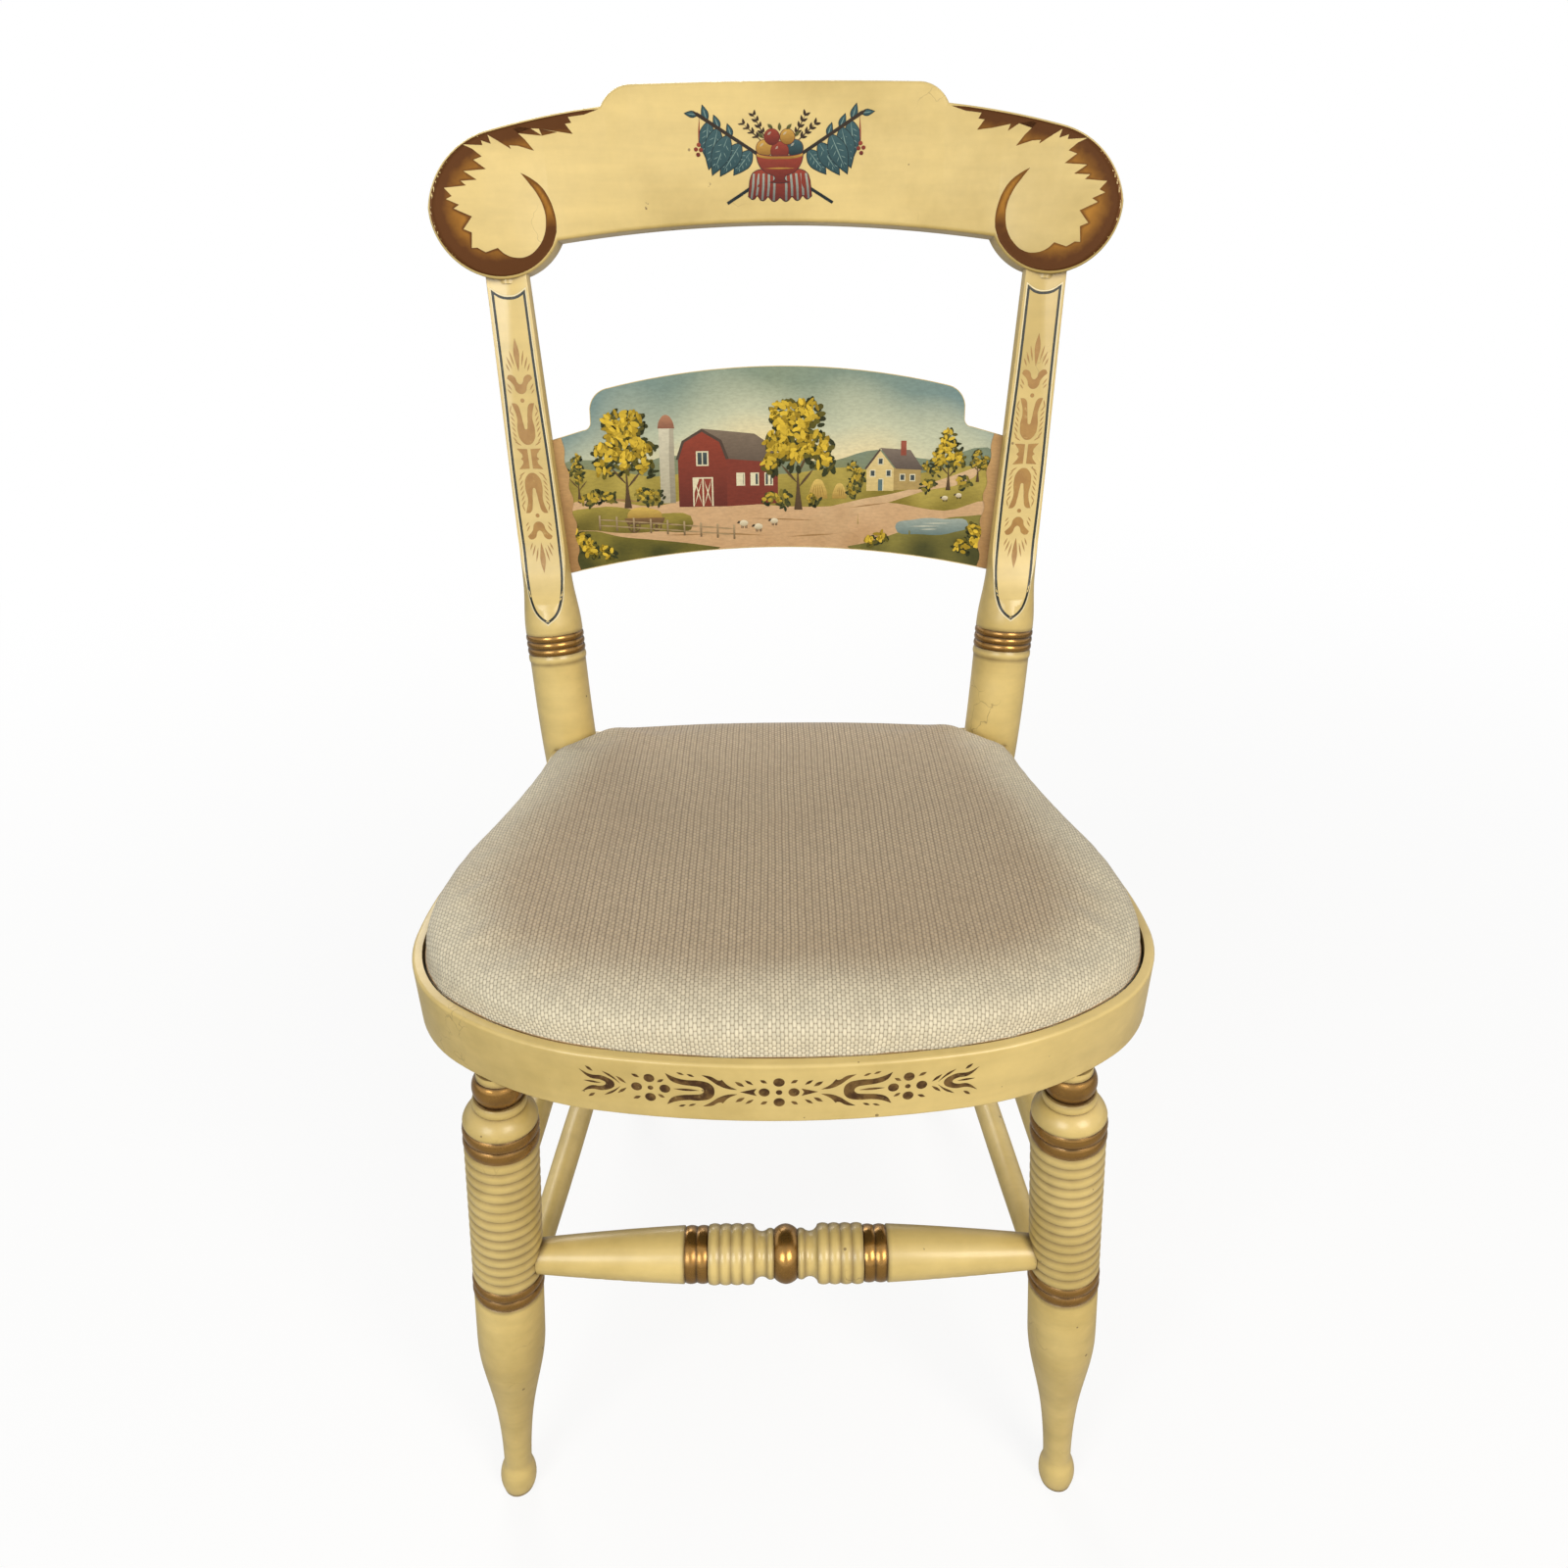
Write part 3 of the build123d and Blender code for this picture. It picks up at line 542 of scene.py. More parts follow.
# ---- the pieces --------------------------------------------------------------------------------
def leg_point(height):
    """Axis of the right front leg at a height over the floor."""
    return LEG_FOOT.lerp(LEG_TOP, height / LEG_HEIGHT)


def back_point(across, up, out):
    """A point of the raked back from its place across, up the rake and towards the sitter."""
    layout = bpy.context.scene.chair_layout
    lean, rise = math.sin(layout.back_rake), math.cos(layout.back_rake)
    y = SEAT_FRONT + layout.back_foot + up * lean - out * rise
    return Vector((across, y, layout.back_height + up * rise + out * lean))


def post_across(up):
    """Axis of the right post across the back, at a height up the rake."""
    layout = bpy.context.scene.chair_layout
    return layout.post_side + layout.post_splay * up


class CHAIR_OT_front_legs(bpy.types.Operator):
    """Front legs with bronze bands and balls"""

    bl_idname = "chair.front_legs"
    bl_label = "Front legs"

    def execute(self, context):
        bands = [(0.2100, 0.2255), (0.3355, 0.3525), (0.3712, 0.3869)]
        grooves = [(0.2100, 0.00775, 2), (0.2255, 0.110 / 14, 14), (0.3355, 0.0085, 2), (0.3712, 0.0157, 1)]
        material = painted_wood("leg_paint", LEG_FOOT, LEG_TOP, bands, grooves)
        for side in SIDES:
            stand_in("front_leg_" + side, "leg_paint", material, 40.0)
        return {"FINISHED"}


class CHAIR_OT_back_posts(bpy.types.Operator):
    """Back posts with bronze rings"""

    bl_idname = "chair.back_posts"
    bl_label = "Back posts"

    def execute(self, context):
        start = back_point(post_across(0.0), 0.0, 0.0)
        end = back_point(post_across(0.4), 0.4, 0.0)
        grooves = [(0.0670, 0.0065, 1), (0.0735, 0.0051, 3)]
        material = painted_wood("post_paint", start, end, [(0.0735, 0.0888)], grooves)
        for side in SIDES:
            stand_in("back_post_" + side, "post_paint", material)
        return {"FINISHED"}


class CHAIR_OT_stretchers(bpy.types.Operator):
    """Turned front stretcher and the plain round stretchers"""

    bl_idname = "chair.stretchers"
    bl_label = "Stretchers"

    def execute(self, context):
        end = leg_point(STRETCHER_HEIGHT)
        start = Vector((0.0, end.y, end.z))
        bands = [(-0.0074, 0.0074), (0.0486, 0.0634)]
        grooves = [(0.0074, 0.0046, 1), (0.0202, 0.0071, 4), (0.0486, 0.0074, 2)]
        material = painted_wood("stretcher_paint", start, end, bands, grooves)
        stand_in("front_stretcher", "stretcher_paint", material, 40.0)
        plain = painted_wood("plain_paint")
        stand_in("rear_stretcher", "plain_paint", plain)
        for side in SIDES:
            stand_in("upper_side_stretcher_" + side, "plain_paint", plain)
            stand_in("lower_side_stretcher_" + side, "plain_paint", plain)
        return {"FINISHED"}


class CHAIR_OT_seat_frame(bpy.types.Operator):
    """Seat hoop and back rail"""

    bl_idname = "chair.seat_frame"
    bl_label = "Seat frame"

    def execute(self, context):
        material = painted_wood("rail_paint")
        for node in ("seat_hoop", "back_rail"):
            stand_in(node, "rail_paint", material)
        return {"FINISHED"}


class CHAIR_OT_back_boards(bpy.types.Operator):
    """Crest and slat"""

    bl_idname = "chair.back_boards"
    bl_label = "Crest and slat"

    def execute(self, context):
        stand_in("crest_rail", "crest_paint", painted_wood("crest_paint"))
        stand_in("back_slat", "slat_paint", painted_wood("slat_paint"))
        return {"FINISHED"}


class CHAIR_OT_hidden_parts(bpy.types.Operator):
    """Board, blocks, screws and dust cloth under the seat"""

    bl_idname = "chair.hidden_parts"
    bl_label = "Hidden parts"

    def execute(self, context):
        block_wood = bare_wood("block_wood", 1.0)
        for place in ("front", "back"):
            for side in SIDES:
                stand_in(place + "_corner_block_" + side, "bare_wood", block_wood)
        stand_in("seat_board", "seat_board", bare_wood("board_wood", 1.25))
        stand_in("seat_screws", "screw_steel", screw_steel())
        cloth = stand_in("dust_cover", "dust_cloth", dust_cloth())
        return {"FINISHED"}


# ---- flat ornament, drawn in millimetres and laid on the boards ------------------------------------
def dab(x, y, end_x, end_y, width):
    """Outline of a brush stroke with pointed ends."""
    side = Vector((y - end_y, end_x - x)).normalized() * width / 2
    middle = Vector((x + end_x, y + end_y)) / 2
    return [(x, y, 1), tuple(middle + side), (end_x, end_y, 1), tuple(middle - side)]


def dot(x, y, radius):
    """Outline of a round spot."""
    return [(x + radius, y), (x, y + radius), (x - radius, y), (x, y - radius)]


def block(left, bottom, right, top):
    """Outline of a rectangle."""
    return [(left, bottom, 1), (right, bottom, 1), (right, top, 1), (left, top, 1)]


def sharp(*points):
    """Outline whose every point is a corner."""
    return [(x, y, 1) for x, y in points]


def arc(x, y, radius, first, last, count):
    """Points of an outline along a circle, from one angle in degrees to another."""
    angles = [math.radians(first + (last - first) * i / (count - 1)) for i in range(count)]
    return [(x + radius * math.cos(angle), y + radius * math.sin(angle), 1) for angle in angles]


def folded(half):
    """Outline closed by its own mirror image across x = 0; its first and last points lie on the fold."""
    return half + [(-x, *rest) for x, *rest in half[-2:0:-1]]


def shifted(outline, by, sign=1):
    """The outline moved across, and mirrored first where the sign is -1."""
    return [(by + sign * x, *rest) for x, *rest in outline]


def mirrored(outlines, x=None, y=None):
    """The outlines and their mirror images across the given line."""
    if x is not None:
        return outlines + [shifted(outline, 2 * x, -1) for outline in outlines]
    return outlines + [[(a, 2 * y - b, *rest) for a, b, *rest in outline] for outline in outlines]


def grown(outline, by):
    """The outline moved outwards all round."""
    knots = [Vector(knot[:2]) for knot in outline]
    turn = sum(a.x * b.y - b.x * a.y for a, b in zip(knots, knots[1:] + knots[:1]))
    sign = 1 if turn > 0 else -1
    moved = []
    for i, (x, y, *rest) in enumerate(outline):
        before = (knots[i] - knots[i - 1]).normalized()
        after = (knots[(i + 1) % len(knots)] - knots[i]).normalized()
        normals = [Vector((way.y, -way.x)) * sign for way in (before, after)]
        push = (normals[0] + normals[1]) / max(1 + normals[0].dot(normals[1]), 0.3) * by
        moved.append((x + push.x, y + push.y, *rest))
    return moved


def drawn(name, outlines, lift=0.0):
    """A flat filled shape from closed outlines; where two overlap there is a hole."""
    curve = bpy.data.curves.new(name, "CURVE")
    curve.dimensions = "2D"
    curve.fill_mode = "BOTH"
    curve.resolution_u = 5
    for outline in outlines:
        spline = curve.splines.new("BEZIER")
        spline.bezier_points.add(len(outline) - 1)
        spline.use_cyclic_u = True
        for knot, (x, y, *corner) in zip(spline.bezier_points, outline):
            knot.co = (x, y, 0.0)
            knot.handle_left_type = knot.handle_right_type = "VECTOR" if corner else "AUTO"
    only(placed(name, curve))
    bpy.ops.object.convert(target="MESH")
    piece = bpy.context.object
    edit(piece)
    if piece.data.polygons[0].normal.z < 0:
        bpy.ops.mesh.flip_normals()
    edited()
    for vertex in piece.data.vertices:
        vertex.co.z = lift
    return piece


def cut_up(piece, step, axes=(0,)):
    """Cuts across the flat drawing, so that it can bend."""
    for axis in axes:
        places = [vertex.co[axis] for vertex in piece.data.vertices]
        start, reach = min(places), max(places) - min(places)
        count = int(reach / step)
        edit(piece)
        for i in range(1, count + 1):
            place, normal = Vector(), Vector()
            place[axis] = start + reach * i / (count + 1)
            normal[axis] = 1.0
            bpy.ops.mesh.select_all(action="SELECT")
            bpy.ops.mesh.bisect(plane_co=place, plane_no=normal)
        edited()


def tinted(piece, low, high=None, wander=0.0, grain=0.06):
    """A colour on every point, from the low one at the bottom of the drawing to the high one at its top."""
    points = piece.data.vertices
    bottom = min(point.co.y for point in points)
    height = max(max(point.co.y for point in points) - bottom, 0.001)
    low, high = Vector(low), Vector(high or low)
    layer = piece.data.color_attributes.new(name="tint", type="FLOAT_COLOR", domain="POINT")
    for item, point in zip(layer.data, points):
        share = (point.co.y - bottom) / height + wander * cloud.noise(point.co * grain)
        item.color = (*low.lerp(high, clamp(share)), 1.0)
    return piece


def paint_shape(parts, lift, low, high, *outlines, wander=0.0, cut=0.0, grain=0.06):
    """One more painted shape among the parts of a picture."""
    shape = drawn("shape", outlines, lift)
    if cut:
        cut_up(shape, cut, (0, 1))
    parts.append(tinted(shape, low, high, wander, grain))


def together(name, parts):
    """All the parts as one piece."""
    bpy.ops.object.select_all(action="DESELECT")
    for part in parts:
        part.select_set(True)
    bpy.context.view_layer.objects.active = parts[0]
    bpy.ops.object.join()
    parts[0].name = name
    return parts[0]


def lay(piece, plane, board):
    """The drawing set before its board and pressed on it, each layer as far out as it was lifted."""
    target = bpy.data.objects[board]
    lifts = [vertex.co.z * MM for vertex in piece.data.vertices]
    for vertex in piece.data.vertices:
        vertex.co.z = 0.0
    piece.matrix_world = plane @ Matrix.Scale(MM, 4)
    only(piece)
    bpy.ops.object.transform_apply(location=False, rotation=False, scale=True)
    apply_modifier(piece, "SHRINKWRAP", target=target, offset=0.10 * MM, wrap_method="PROJECT",
                   wrap_mode="ABOVE_SURFACE", use_project_z=True, use_negative_direction=True,
                   use_positive_direction=False)
    missed = [vertex.co.z > -0.5 * MM for vertex in piece.data.vertices]
    for vertex, lift in zip(piece.data.vertices, lifts):
        vertex.co.z += lift
    edit(piece)
    bpy.ops.mesh.select_all(action="DESELECT")
    edited()
    for vertex, miss in zip(piece.data.vertices, missed):
        vertex.select = miss
    bpy.ops.object.mode_set(mode="EDIT")
    bpy.ops.mesh.delete(type="VERT")
    edited()
    bpy.ops.object.transform_apply(location=True, rotation=True, scale=True)
    bpy.ops.object.shade_smooth()
    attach(piece, "root")


def back_canvas():
    """Drawing plane in front of the back: across, up the rake, towards the sitter."""
    origin = back_point(0.0, 0.0, 0.05)
    up = back_point(0.0, 1.0, 0.05) - origin
    across = Vector((1.0, 0.0, 0.0))
    return Matrix.Translation(origin) @ Matrix((across, up, across.cross(up))).transposed().to_4x4()


def rail_canvas():
    """Upright drawing plane in front of the seat rail."""
    return Matrix.Translation((-0.003, SEAT_FRONT - 0.03, 0.4135)) @ Matrix.Rotation(math.pi / 2, 4, "X")


def stencil_group():
    """Thin stencil paint: two tones that cloud into each other, rubbed through in places to the ground."""
    inputs = [("Light", "Color", (0.4, 0.2, 0.05, 1)), ("Dark", "Color", (0.1, 0.05, 0.01, 1)),
              ("Ground", "Color", (0.7, 0.5, 0.2, 1)), ("Dark share", "Float", 0.5), ("Wear", "Float", 0.5),
              ("Clouds", "Float", 0.25)]
    outputs = [("Color", "Color", None), ("Roughness", "Float", None)]
    group, entry, result = new_group("Stencil paint", inputs, outputs)
    if entry is None:
        return group
    place = object_place(group)
    clouds = soft_step(group, noise(group, place, 130.0, 3.0, 0.6), 0.35, 0.65, -1.0, 1.0)
    clouds = calc(group, "MULTIPLY", clouds, entry.outputs["Clouds"])
    share = calc(group, "ADD", entry.outputs["Dark share"], clouds)
    share = add(group, "ShaderNodeClamp", {0: share}).outputs[0]
    color = mix(group, share, entry.outputs["Light"], entry.outputs["Dark"])
    rubbed = soft_step(group, noise(group, place, 210.0, 4.0, 0.7), 0.60, 0.68)
    rubbed = calc(group, "MULTIPLY", rubbed, entry.outputs["Wear"])
    feed(group, result, {
        "Color": mix(group, rubbed, color, entry.outputs["Ground"]),
        "Roughness": calc(group, "MULTIPLY_ADD", clouds, 0.2, 0.36),
    })
    return group


def stencil_paint(name, light, dark, share=0.5, wear=0.5, metallic=0.0, clouds=0.25):
    """A thin paint laid on the cream."""
    finish = bpy.context.scene.chair_finish
    material, tree, shader = new_material(name)
    inputs = {"Light": rgba(light), "Dark": rgba(dark), "Ground": rgba(finish.cream), "Dark share": share,
              "Wear": wear, "Clouds": clouds}
    stencil = use(tree, stencil_group(), inputs)
    feed(tree, shader, {
        "Base Color": stencil.outputs["Color"],
        "Roughness": stencil.outputs["Roughness"],
        "Metallic": metallic,
        "Specular IOR Level": 0.35,
        "Coat Weight": 0.1,
        "Coat Roughness": 0.2,
    })
    return material


def ear_paint():
    """Bronze that is dark at the board's edge and along its cut leaves, and golden between."""
    finish = bpy.context.scene.chair_finish
    material = stencil_paint("ear_bronze", finish.ear_gold, finish.ear_brown,
                             wear=0.0, metallic=0.3, clouds=0.05)
    tree = material.node_tree
    shader = next(node for node in tree.nodes if node.type == "BSDF_PRINCIPLED")
    feed(tree, shader, {"Specular IOR Level": 0.12, "Coat Weight": 0.0})
    inset = add(tree, "ShaderNodeAttribute", attribute_name="inset").outputs["Vector"]
    parts = add(tree, "ShaderNodeSeparateXYZ", {0: inset})
    edge = soft_step(tree, parts.outputs[0], 3.0, 21.0, 1.05, 0.22)
    leaf = soft_step(tree, parts.outputs[1], 0.2, 3.4, 0.80, 0.0)
    patchy = noise(tree, object_place(tree), 16.0, 1.0)
    share = calc(tree, "SUBTRACT", calc(tree, "MAXIMUM", edge, leaf), 0.20)
    share = calc(tree, "MULTIPLY_ADD", patchy, 0.5, share)
    group = next(node for node in tree.nodes if node.type == "GROUP")
    feed(tree, group, {"Dark share": share})
    return material


def picture_paint(name):
    """Hand-painted colours with brush marks under varnish."""
    material, tree, shader = new_material(name)
    place = object_place(tree)
    tint = add(tree, "ShaderNodeAttribute", attribute_name="tint").outputs["Color"]
    marks = noise(tree, stretched(tree, place, (240.0, 240.0, 700.0)), 1.0, 4.0, 0.6)
    feed(tree, shader, {
        "Base Color": lifted(tree, tint, soft_step(tree, marks, 0.3, 0.7, 0.90, 1.06)),
        "Roughness": soft_step(tree, noise(tree, place, 30.0, 3.0), 0.3, 0.7, 0.26, 0.38),
        "Specular IOR Level": 0.16,
        "Coat Weight": 0.06,
        "Coat Roughness": 0.15,
    })
    roughen(tree, shader, marks, 0.02 * MM)
    return material


class CHAIR_OT_rail_stencil(bpy.types.Operator):
    """Bronze tulips and flowers along the front of the seat rail"""

    bl_idname = "chair.rail_stencil"
    bl_label = "Rail stencil"

    def execute(self, context):
        finish = context.scene.chair_finish
        above = [
            dab(-103.6, 11.2, -99.6, 8.0, 1.7),
            [(-94.6, 8.8, 1), (-90.0, 6.6), (-85.0, 0.8, 1), (-88.6, 4.0), (-92.0, 6.4)],
            dab(-87.0, 6.2, -81.8, 1.6, 1.6),
            dab(-78.6, 9.0, -74.4, 6.9, 1.9),
            dab(-65.0, 4.4, -61.4, 6.7, 1.8),
            dot(-69.2, 6.9, 2.9),
            dab(-54.2, 12.4, -50.2, 10.9, 1.3),
            dab(-48.8, 11.6, -44.8, 9.9, 1.4),
            [(-40.9, 11.4, 1), (-36.0, 10.6), (-31.2, 7.9), (-30.2, 8.6, 1), (-27.4, 4.9), (-22.4, 1.6, 1),
             (-27.5, 2.2), (-32.4, 4.6), (-36.4, 8.1)],
            dab(-23.4, 7.4, -18.4, 4.0, 2.1),
            dab(-18.1, 8.6, -13.7, 5.3, 1.7),
            dab(-10.0, 8.8, -6.3, 6.6, 2.0),
        ]
        middle = [
            [(-107.3, 8.4, 1), (-101.5, 5.4), (-94.0, 5.1), (-88.3, 0.0), (-94.0, -5.1), (-101.5, -5.4),
             (-107.3, -8.4, 1), (-101.5, -2.9), (-95.0, -2.0), (-93.0, 0.0), (-95.0, 2.0), (-101.5, 2.9)],
            dab(-105.4, 0.4, -95.6, 0.0, 1.3),
            dot(-76.3, 0.0, 2.9), dot(-61.0, 0.0, 2.9), dot(-68.8, 0.0, 1.5),
            [(-60.3, 11.3, 1), (-55.5, 8.8), (-49.5, 7.3), (-42.5, 7.2), (-36.3, 5.0), (-34.4, 0.0),
             (-36.3, -5.0), (-42.5, -7.2), (-49.5, -7.3), (-55.5, -8.8), (-60.3, -11.3, 1), (-57.6, -6.4),
             (-52.4, -4.0), (-46.0, -3.2), (-41.4, -2.2), (-40.0, 0.0), (-41.4, 2.2), (-46.0, 3.2),
             (-52.4, 4.0), (-57.6, 6.4)],
            dab(-56.6, 0.4, -42.4, 0.0, 1.5),
            [(-20.7, 0.0, 1), (-12.0, 2.6, 1), (-13.4, 0.0, 1), (-12.0, -2.6, 1)],
            dot(-7.9, 0.0, 2.9),
        ]
        outlines = mirrored(mirrored(above, y=0.0) + middle, x=0.0)
        outlines += [dot(0.0, 7.2, 3.0), dot(0.0, -7.2, 3.0), dot(0.0, 0.0, 1.7)]
        piece = drawn("rail_stencil", outlines)
        cut_up(piece, 8.0)
        material = stencil_paint("rail_stencil_paint", finish.rail_bronze, finish.bronze_dark,
                                 share=0.55, wear=0.2, metallic=0.3, clouds=0.4)
        dress(piece, "rail_paint", material)
        lay(piece, rail_canvas(), "seat_hoop_painted")
        return {"FINISHED"}


class CHAIR_OT_post_stencils(bpy.types.Operator):
    """Pinstriped panels with tan tulips on both posts"""

    bl_idname = "chair.post_stencils"
    bl_label = "Post stencils"

    def execute(self, context):
        finish = context.scene.chair_finish
        panel = folded([(0.0, 99.0, 1), (6.2, 104.2), (9.6, 110.5), (12.2, 124.0), (13.0, 154.0),
                        (12.9, 212.0), (11.5, 268.0), (10.9, 328.0, 1), (6.0, 325.0), (0.0, 324.0)])
        half = [
            [(0.0, 298.0, 1), (1.9, 289.0), (1.2, 282.0), (0.0, 276.0, 1), (-1.2, 282.0), (-1.9, 289.0)],
            folded([(0.0, 260.8), (3.3, 262.6), (4.8, 267.0), (9.0, 271.4, 1), (7.4, 273.6), (3.6, 272.4),
                    (1.7, 268.2), (0.0, 267.2)]),
            dot(0.0, 256.4, 1.4),
            folded([(0.0, 226.0), (4.6, 229.0), (6.2, 236.0), (5.4, 245.0), (8.0, 254.6, 1), (4.6, 254.0),
                    (2.4, 247.5), (1.5, 240.5), (0.0, 236.6)]),
        ]
        half += mirrored([
            dab(2.6, 279.5, 5.0, 290.0, 1.0), dab(4.4, 277.6, 7.4, 286.0, 1.0),
            dab(6.3, 276.0, 8.6, 281.6, 0.9), dab(6.4, 263.4, 9.4, 268.0, 0.8),
            dab(7.0, 261.0, 9.6, 264.2, 0.7),
            *[dab(7.4, 227.5 + 3.6 * i, 10.2, 231.6 + 3.6 * i, 0.7) for i in range(6)],
            dab(4.8, 225.4, 9.4, 228.4, 0.8), dab(8.6, 253.4, 10.0, 248.6, 0.7),
        ], x=0.0)
        half = mirrored(half, y=216.2)
        half += mirrored([sharp((1.2, 209.4), (1.2, 223.0), (8.6, 223.4), (5.4, 219.6), (5.0, 217.6),
                                (6.6, 216.2), (5.0, 214.8), (5.4, 212.8), (8.6, 209.0))], x=0.0)
        stripes = [("post_stencil", half, 0.0, (finish.tan, finish.tan_dark, 0.6, 0.3)),
                   ("post_pinstripe", [grown(panel, 0.8), grown(panel, -0.8)], 0.02,
                    (finish.line, finish.line, 0.5, 0.12)),
                   ("post_pale_line", [grown(panel, 1.8), grown(panel, 0.95)], 0.0,
                    (finish.pale_line, finish.pale_line, 0.5, 0.7))]
        for name, outlines, lift, (light, dark, share, wear) in stripes:
            material = stencil_paint(name + "_paint", light, dark, share, wear)
            for side, sign in SIDES.items():
                leaning = [[(sign * (x + post_across(y * MM) / MM), y, *corner) for x, y, *corner in outline]
                           for outline in outlines]
                piece = drawn(name + "_" + side, leaning, lift)
                cut_up(piece, 10.0, (1,))
                dress(piece, "post_paint", material)
                lay(piece, back_canvas(), "back_post_" + side + "_painted")
        return {"FINISHED"}


def edge_distance(point, line):
    """How far a point is from a line of points."""
    nearest = math.inf
    for start, end in zip(line, line[1:]):
        along = end - start
        share = clamp((point - start).dot(along) / along.length_squared)
        nearest = min(nearest, (point - start - along * share).length)
    return nearest


class CHAIR_OT_ear_borders(bpy.types.Operator):
    """Bronze leaf edges and crescents on the ears of the crest"""

    bl_idname = "chair.ear_borders"
    bl_label = "Ear borders"

    def execute(self, context):
        rim = arc(189.0, 379.6, 41.9, -154.0, 0.0, 30) + arc(175.2, 371.65, 56.25, 7.9, 73.1, 14)
        rim = [Vector(knot[:2]) for knot in rim + arc(55.8, -21.8, 467.4, 73.4, 82.3, 9)]
        leaves = sharp(
            (118.0, 441.0), (127.6, 437.6), (138.1, 436.0), (136.1, 432.6), (140.3, 431.9), (135.6, 426.0),
            (145.7, 426.8), (157.3, 428.6), (155.6, 424.5), (162.7, 428.7), (176.1, 430.0), (171.0, 425.6),
            (166.8, 421.9), (161.4, 415.4), (171.5, 418.1), (177.3, 418.3), (176.2, 416.1), (184.7, 421.0),
            (190.6, 424.2), (188.8, 418.9), (194.9, 420.7), (194.2, 417.9), (206.9, 418.0), (201.0, 415.6),
            (195.2, 411.2), (200.7, 409.0), (193.2, 403.7), (207.5, 402.1), (199.6, 397.1), (209.8, 396.2),
            (206.7, 393.5), (220.7, 391.7), (216.3, 386.9), (220.0, 384.9), (212.1, 381.7), (215.7, 379.3),
            (204.6, 374.7), (210.6, 366.8), (205.5, 364.9), (206.3, 355.2), (202.7, 355.5), (200.1, 354.0),
            (197.5, 352.7), (189.6, 355.5))
        crescent = [(184.9, 351.6), (177.8, 349.5), (170.3, 350.6), (163.4, 355.7), (158.8, 362.8),
                    (156.8, 371.5), (157.5, 380.2), (161.1, 388.7), (166.0, 395.5), (171.2, 401.9, 1),
                    (166.0, 399.4), (159.0, 394.4), (154.4, 388.0), (151.4, 380.3), (150.0, 372.5),
                    (150.2, 366.0, 1)]
        outline = leaves + crescent + [(point.x, point.y) for point in rim[1:-1]]
        inner = [Vector(knot[:2]) for knot in leaves + crescent]
        material = ear_paint()
        for side, sign in SIDES.items():
            piece = drawn("ear_border_" + side, [shifted(outline, 0, sign)])
            cut_up(piece, 1.6, (0, 1))
            inset = piece.data.attributes.new("inset", "FLOAT_VECTOR", "POINT")
            for item, vertex in zip(inset.data, piece.data.vertices):
                place = Vector((abs(vertex.co.x), vertex.co.y))
                item.vector = (edge_distance(place, rim), edge_distance(place, inner), 0.0)
            dress(piece, "crest_paint", material)
            lay(piece, back_canvas(), "crest_rail_painted")
        return {"FINISHED"}


def foliage(name, seed, clumps, tones, size, lift):
    """Leaf dabs over round clumps: dark ones first, light ones last and towards the upper left."""
    rng = random.Random(seed)
    bpy.ops.object.select_all(action="DESELECT")
    bpy.ops.mesh.primitive_circle_add(vertices=8, radius=1.0, fill_type="NGON")
    leaf = bpy.context.object
    parts = []
    for rank, tone in enumerate(tones):
        for x, y, radius in clumps:
            for _ in range(max(3, int(radius * radius * (1.1 - 0.17 * rank) / size ** 1.6))):
                angle = rng.uniform(0, 2 * math.pi)
                reach = radius * math.sqrt(rng.random()) * (1.08 - 0.12 * rank)
                place = (x + reach * math.cos(angle) - 0.10 * rank * radius,
                         y + reach * math.sin(angle) + 0.12 * rank * radius, lift + 0.012 * rank)
                part = placed(name, leaf.data.copy())
                long, wide = size * rng.uniform(0.7, 1.3), size * rng.uniform(0.35, 0.65)
                turn = Matrix.Rotation(rng.uniform(0, math.pi), 4, "Z")
                part.data.transform(Matrix.Translation(place) @ turn @ Matrix.Diagonal((long, wide, 1, 1)))
                shade = rng.uniform(0.8, 1.25)
                parts.append(tinted(part, [channel * shade for channel in tone]))
    bpy.data.objects.remove(leaf)
    return together(name, parts)


def heading(angle):
    """One step in a direction given in degrees."""
    return Vector((math.cos(math.radians(angle)), math.sin(math.radians(angle))))


def broad_leaf(x, y, size, angle, width):
    """Outline of a leaf from its stalk to its tip."""
    along = heading(angle)
    side = Vector((-along.y, along.x)) * width / 2
    knots = [(0.0, 0.0, 1), (0.16, 0.62), (0.42, 1.0), (0.74, 0.62), (1.0, 0.0, 1), (0.74, -0.62),
             (0.42, -1.0), (0.16, -0.62)]
    return [(*(Vector((x, y)) + along * size * far + side * out), *corner) for far, out, *corner in knots]


# ---- crest picture -----------------------------------------------------------------------------
# middle of the crest on the drawing of the back, in millimetres, and the colours of its picture
CREST_MIDDLE = 3.0
TEAL_DARK, TEAL, TEAL_MID, TEAL_PALE = (
    (0.008, 0.018, 0.022), (0.022, 0.060, 0.070), (0.044, 0.102, 0.112), (0.20, 0.30, 0.27))
RED_DARK, RED = (0.11, 0.015, 0.011), (0.30, 0.050, 0.028)
GOLD_DARK, GOLD, CREAM = (0.24, 0.11, 0.020), (0.58, 0.33, 0.065), (0.46, 0.43, 0.33)
STEM = (0.035, 0.020, 0.010)


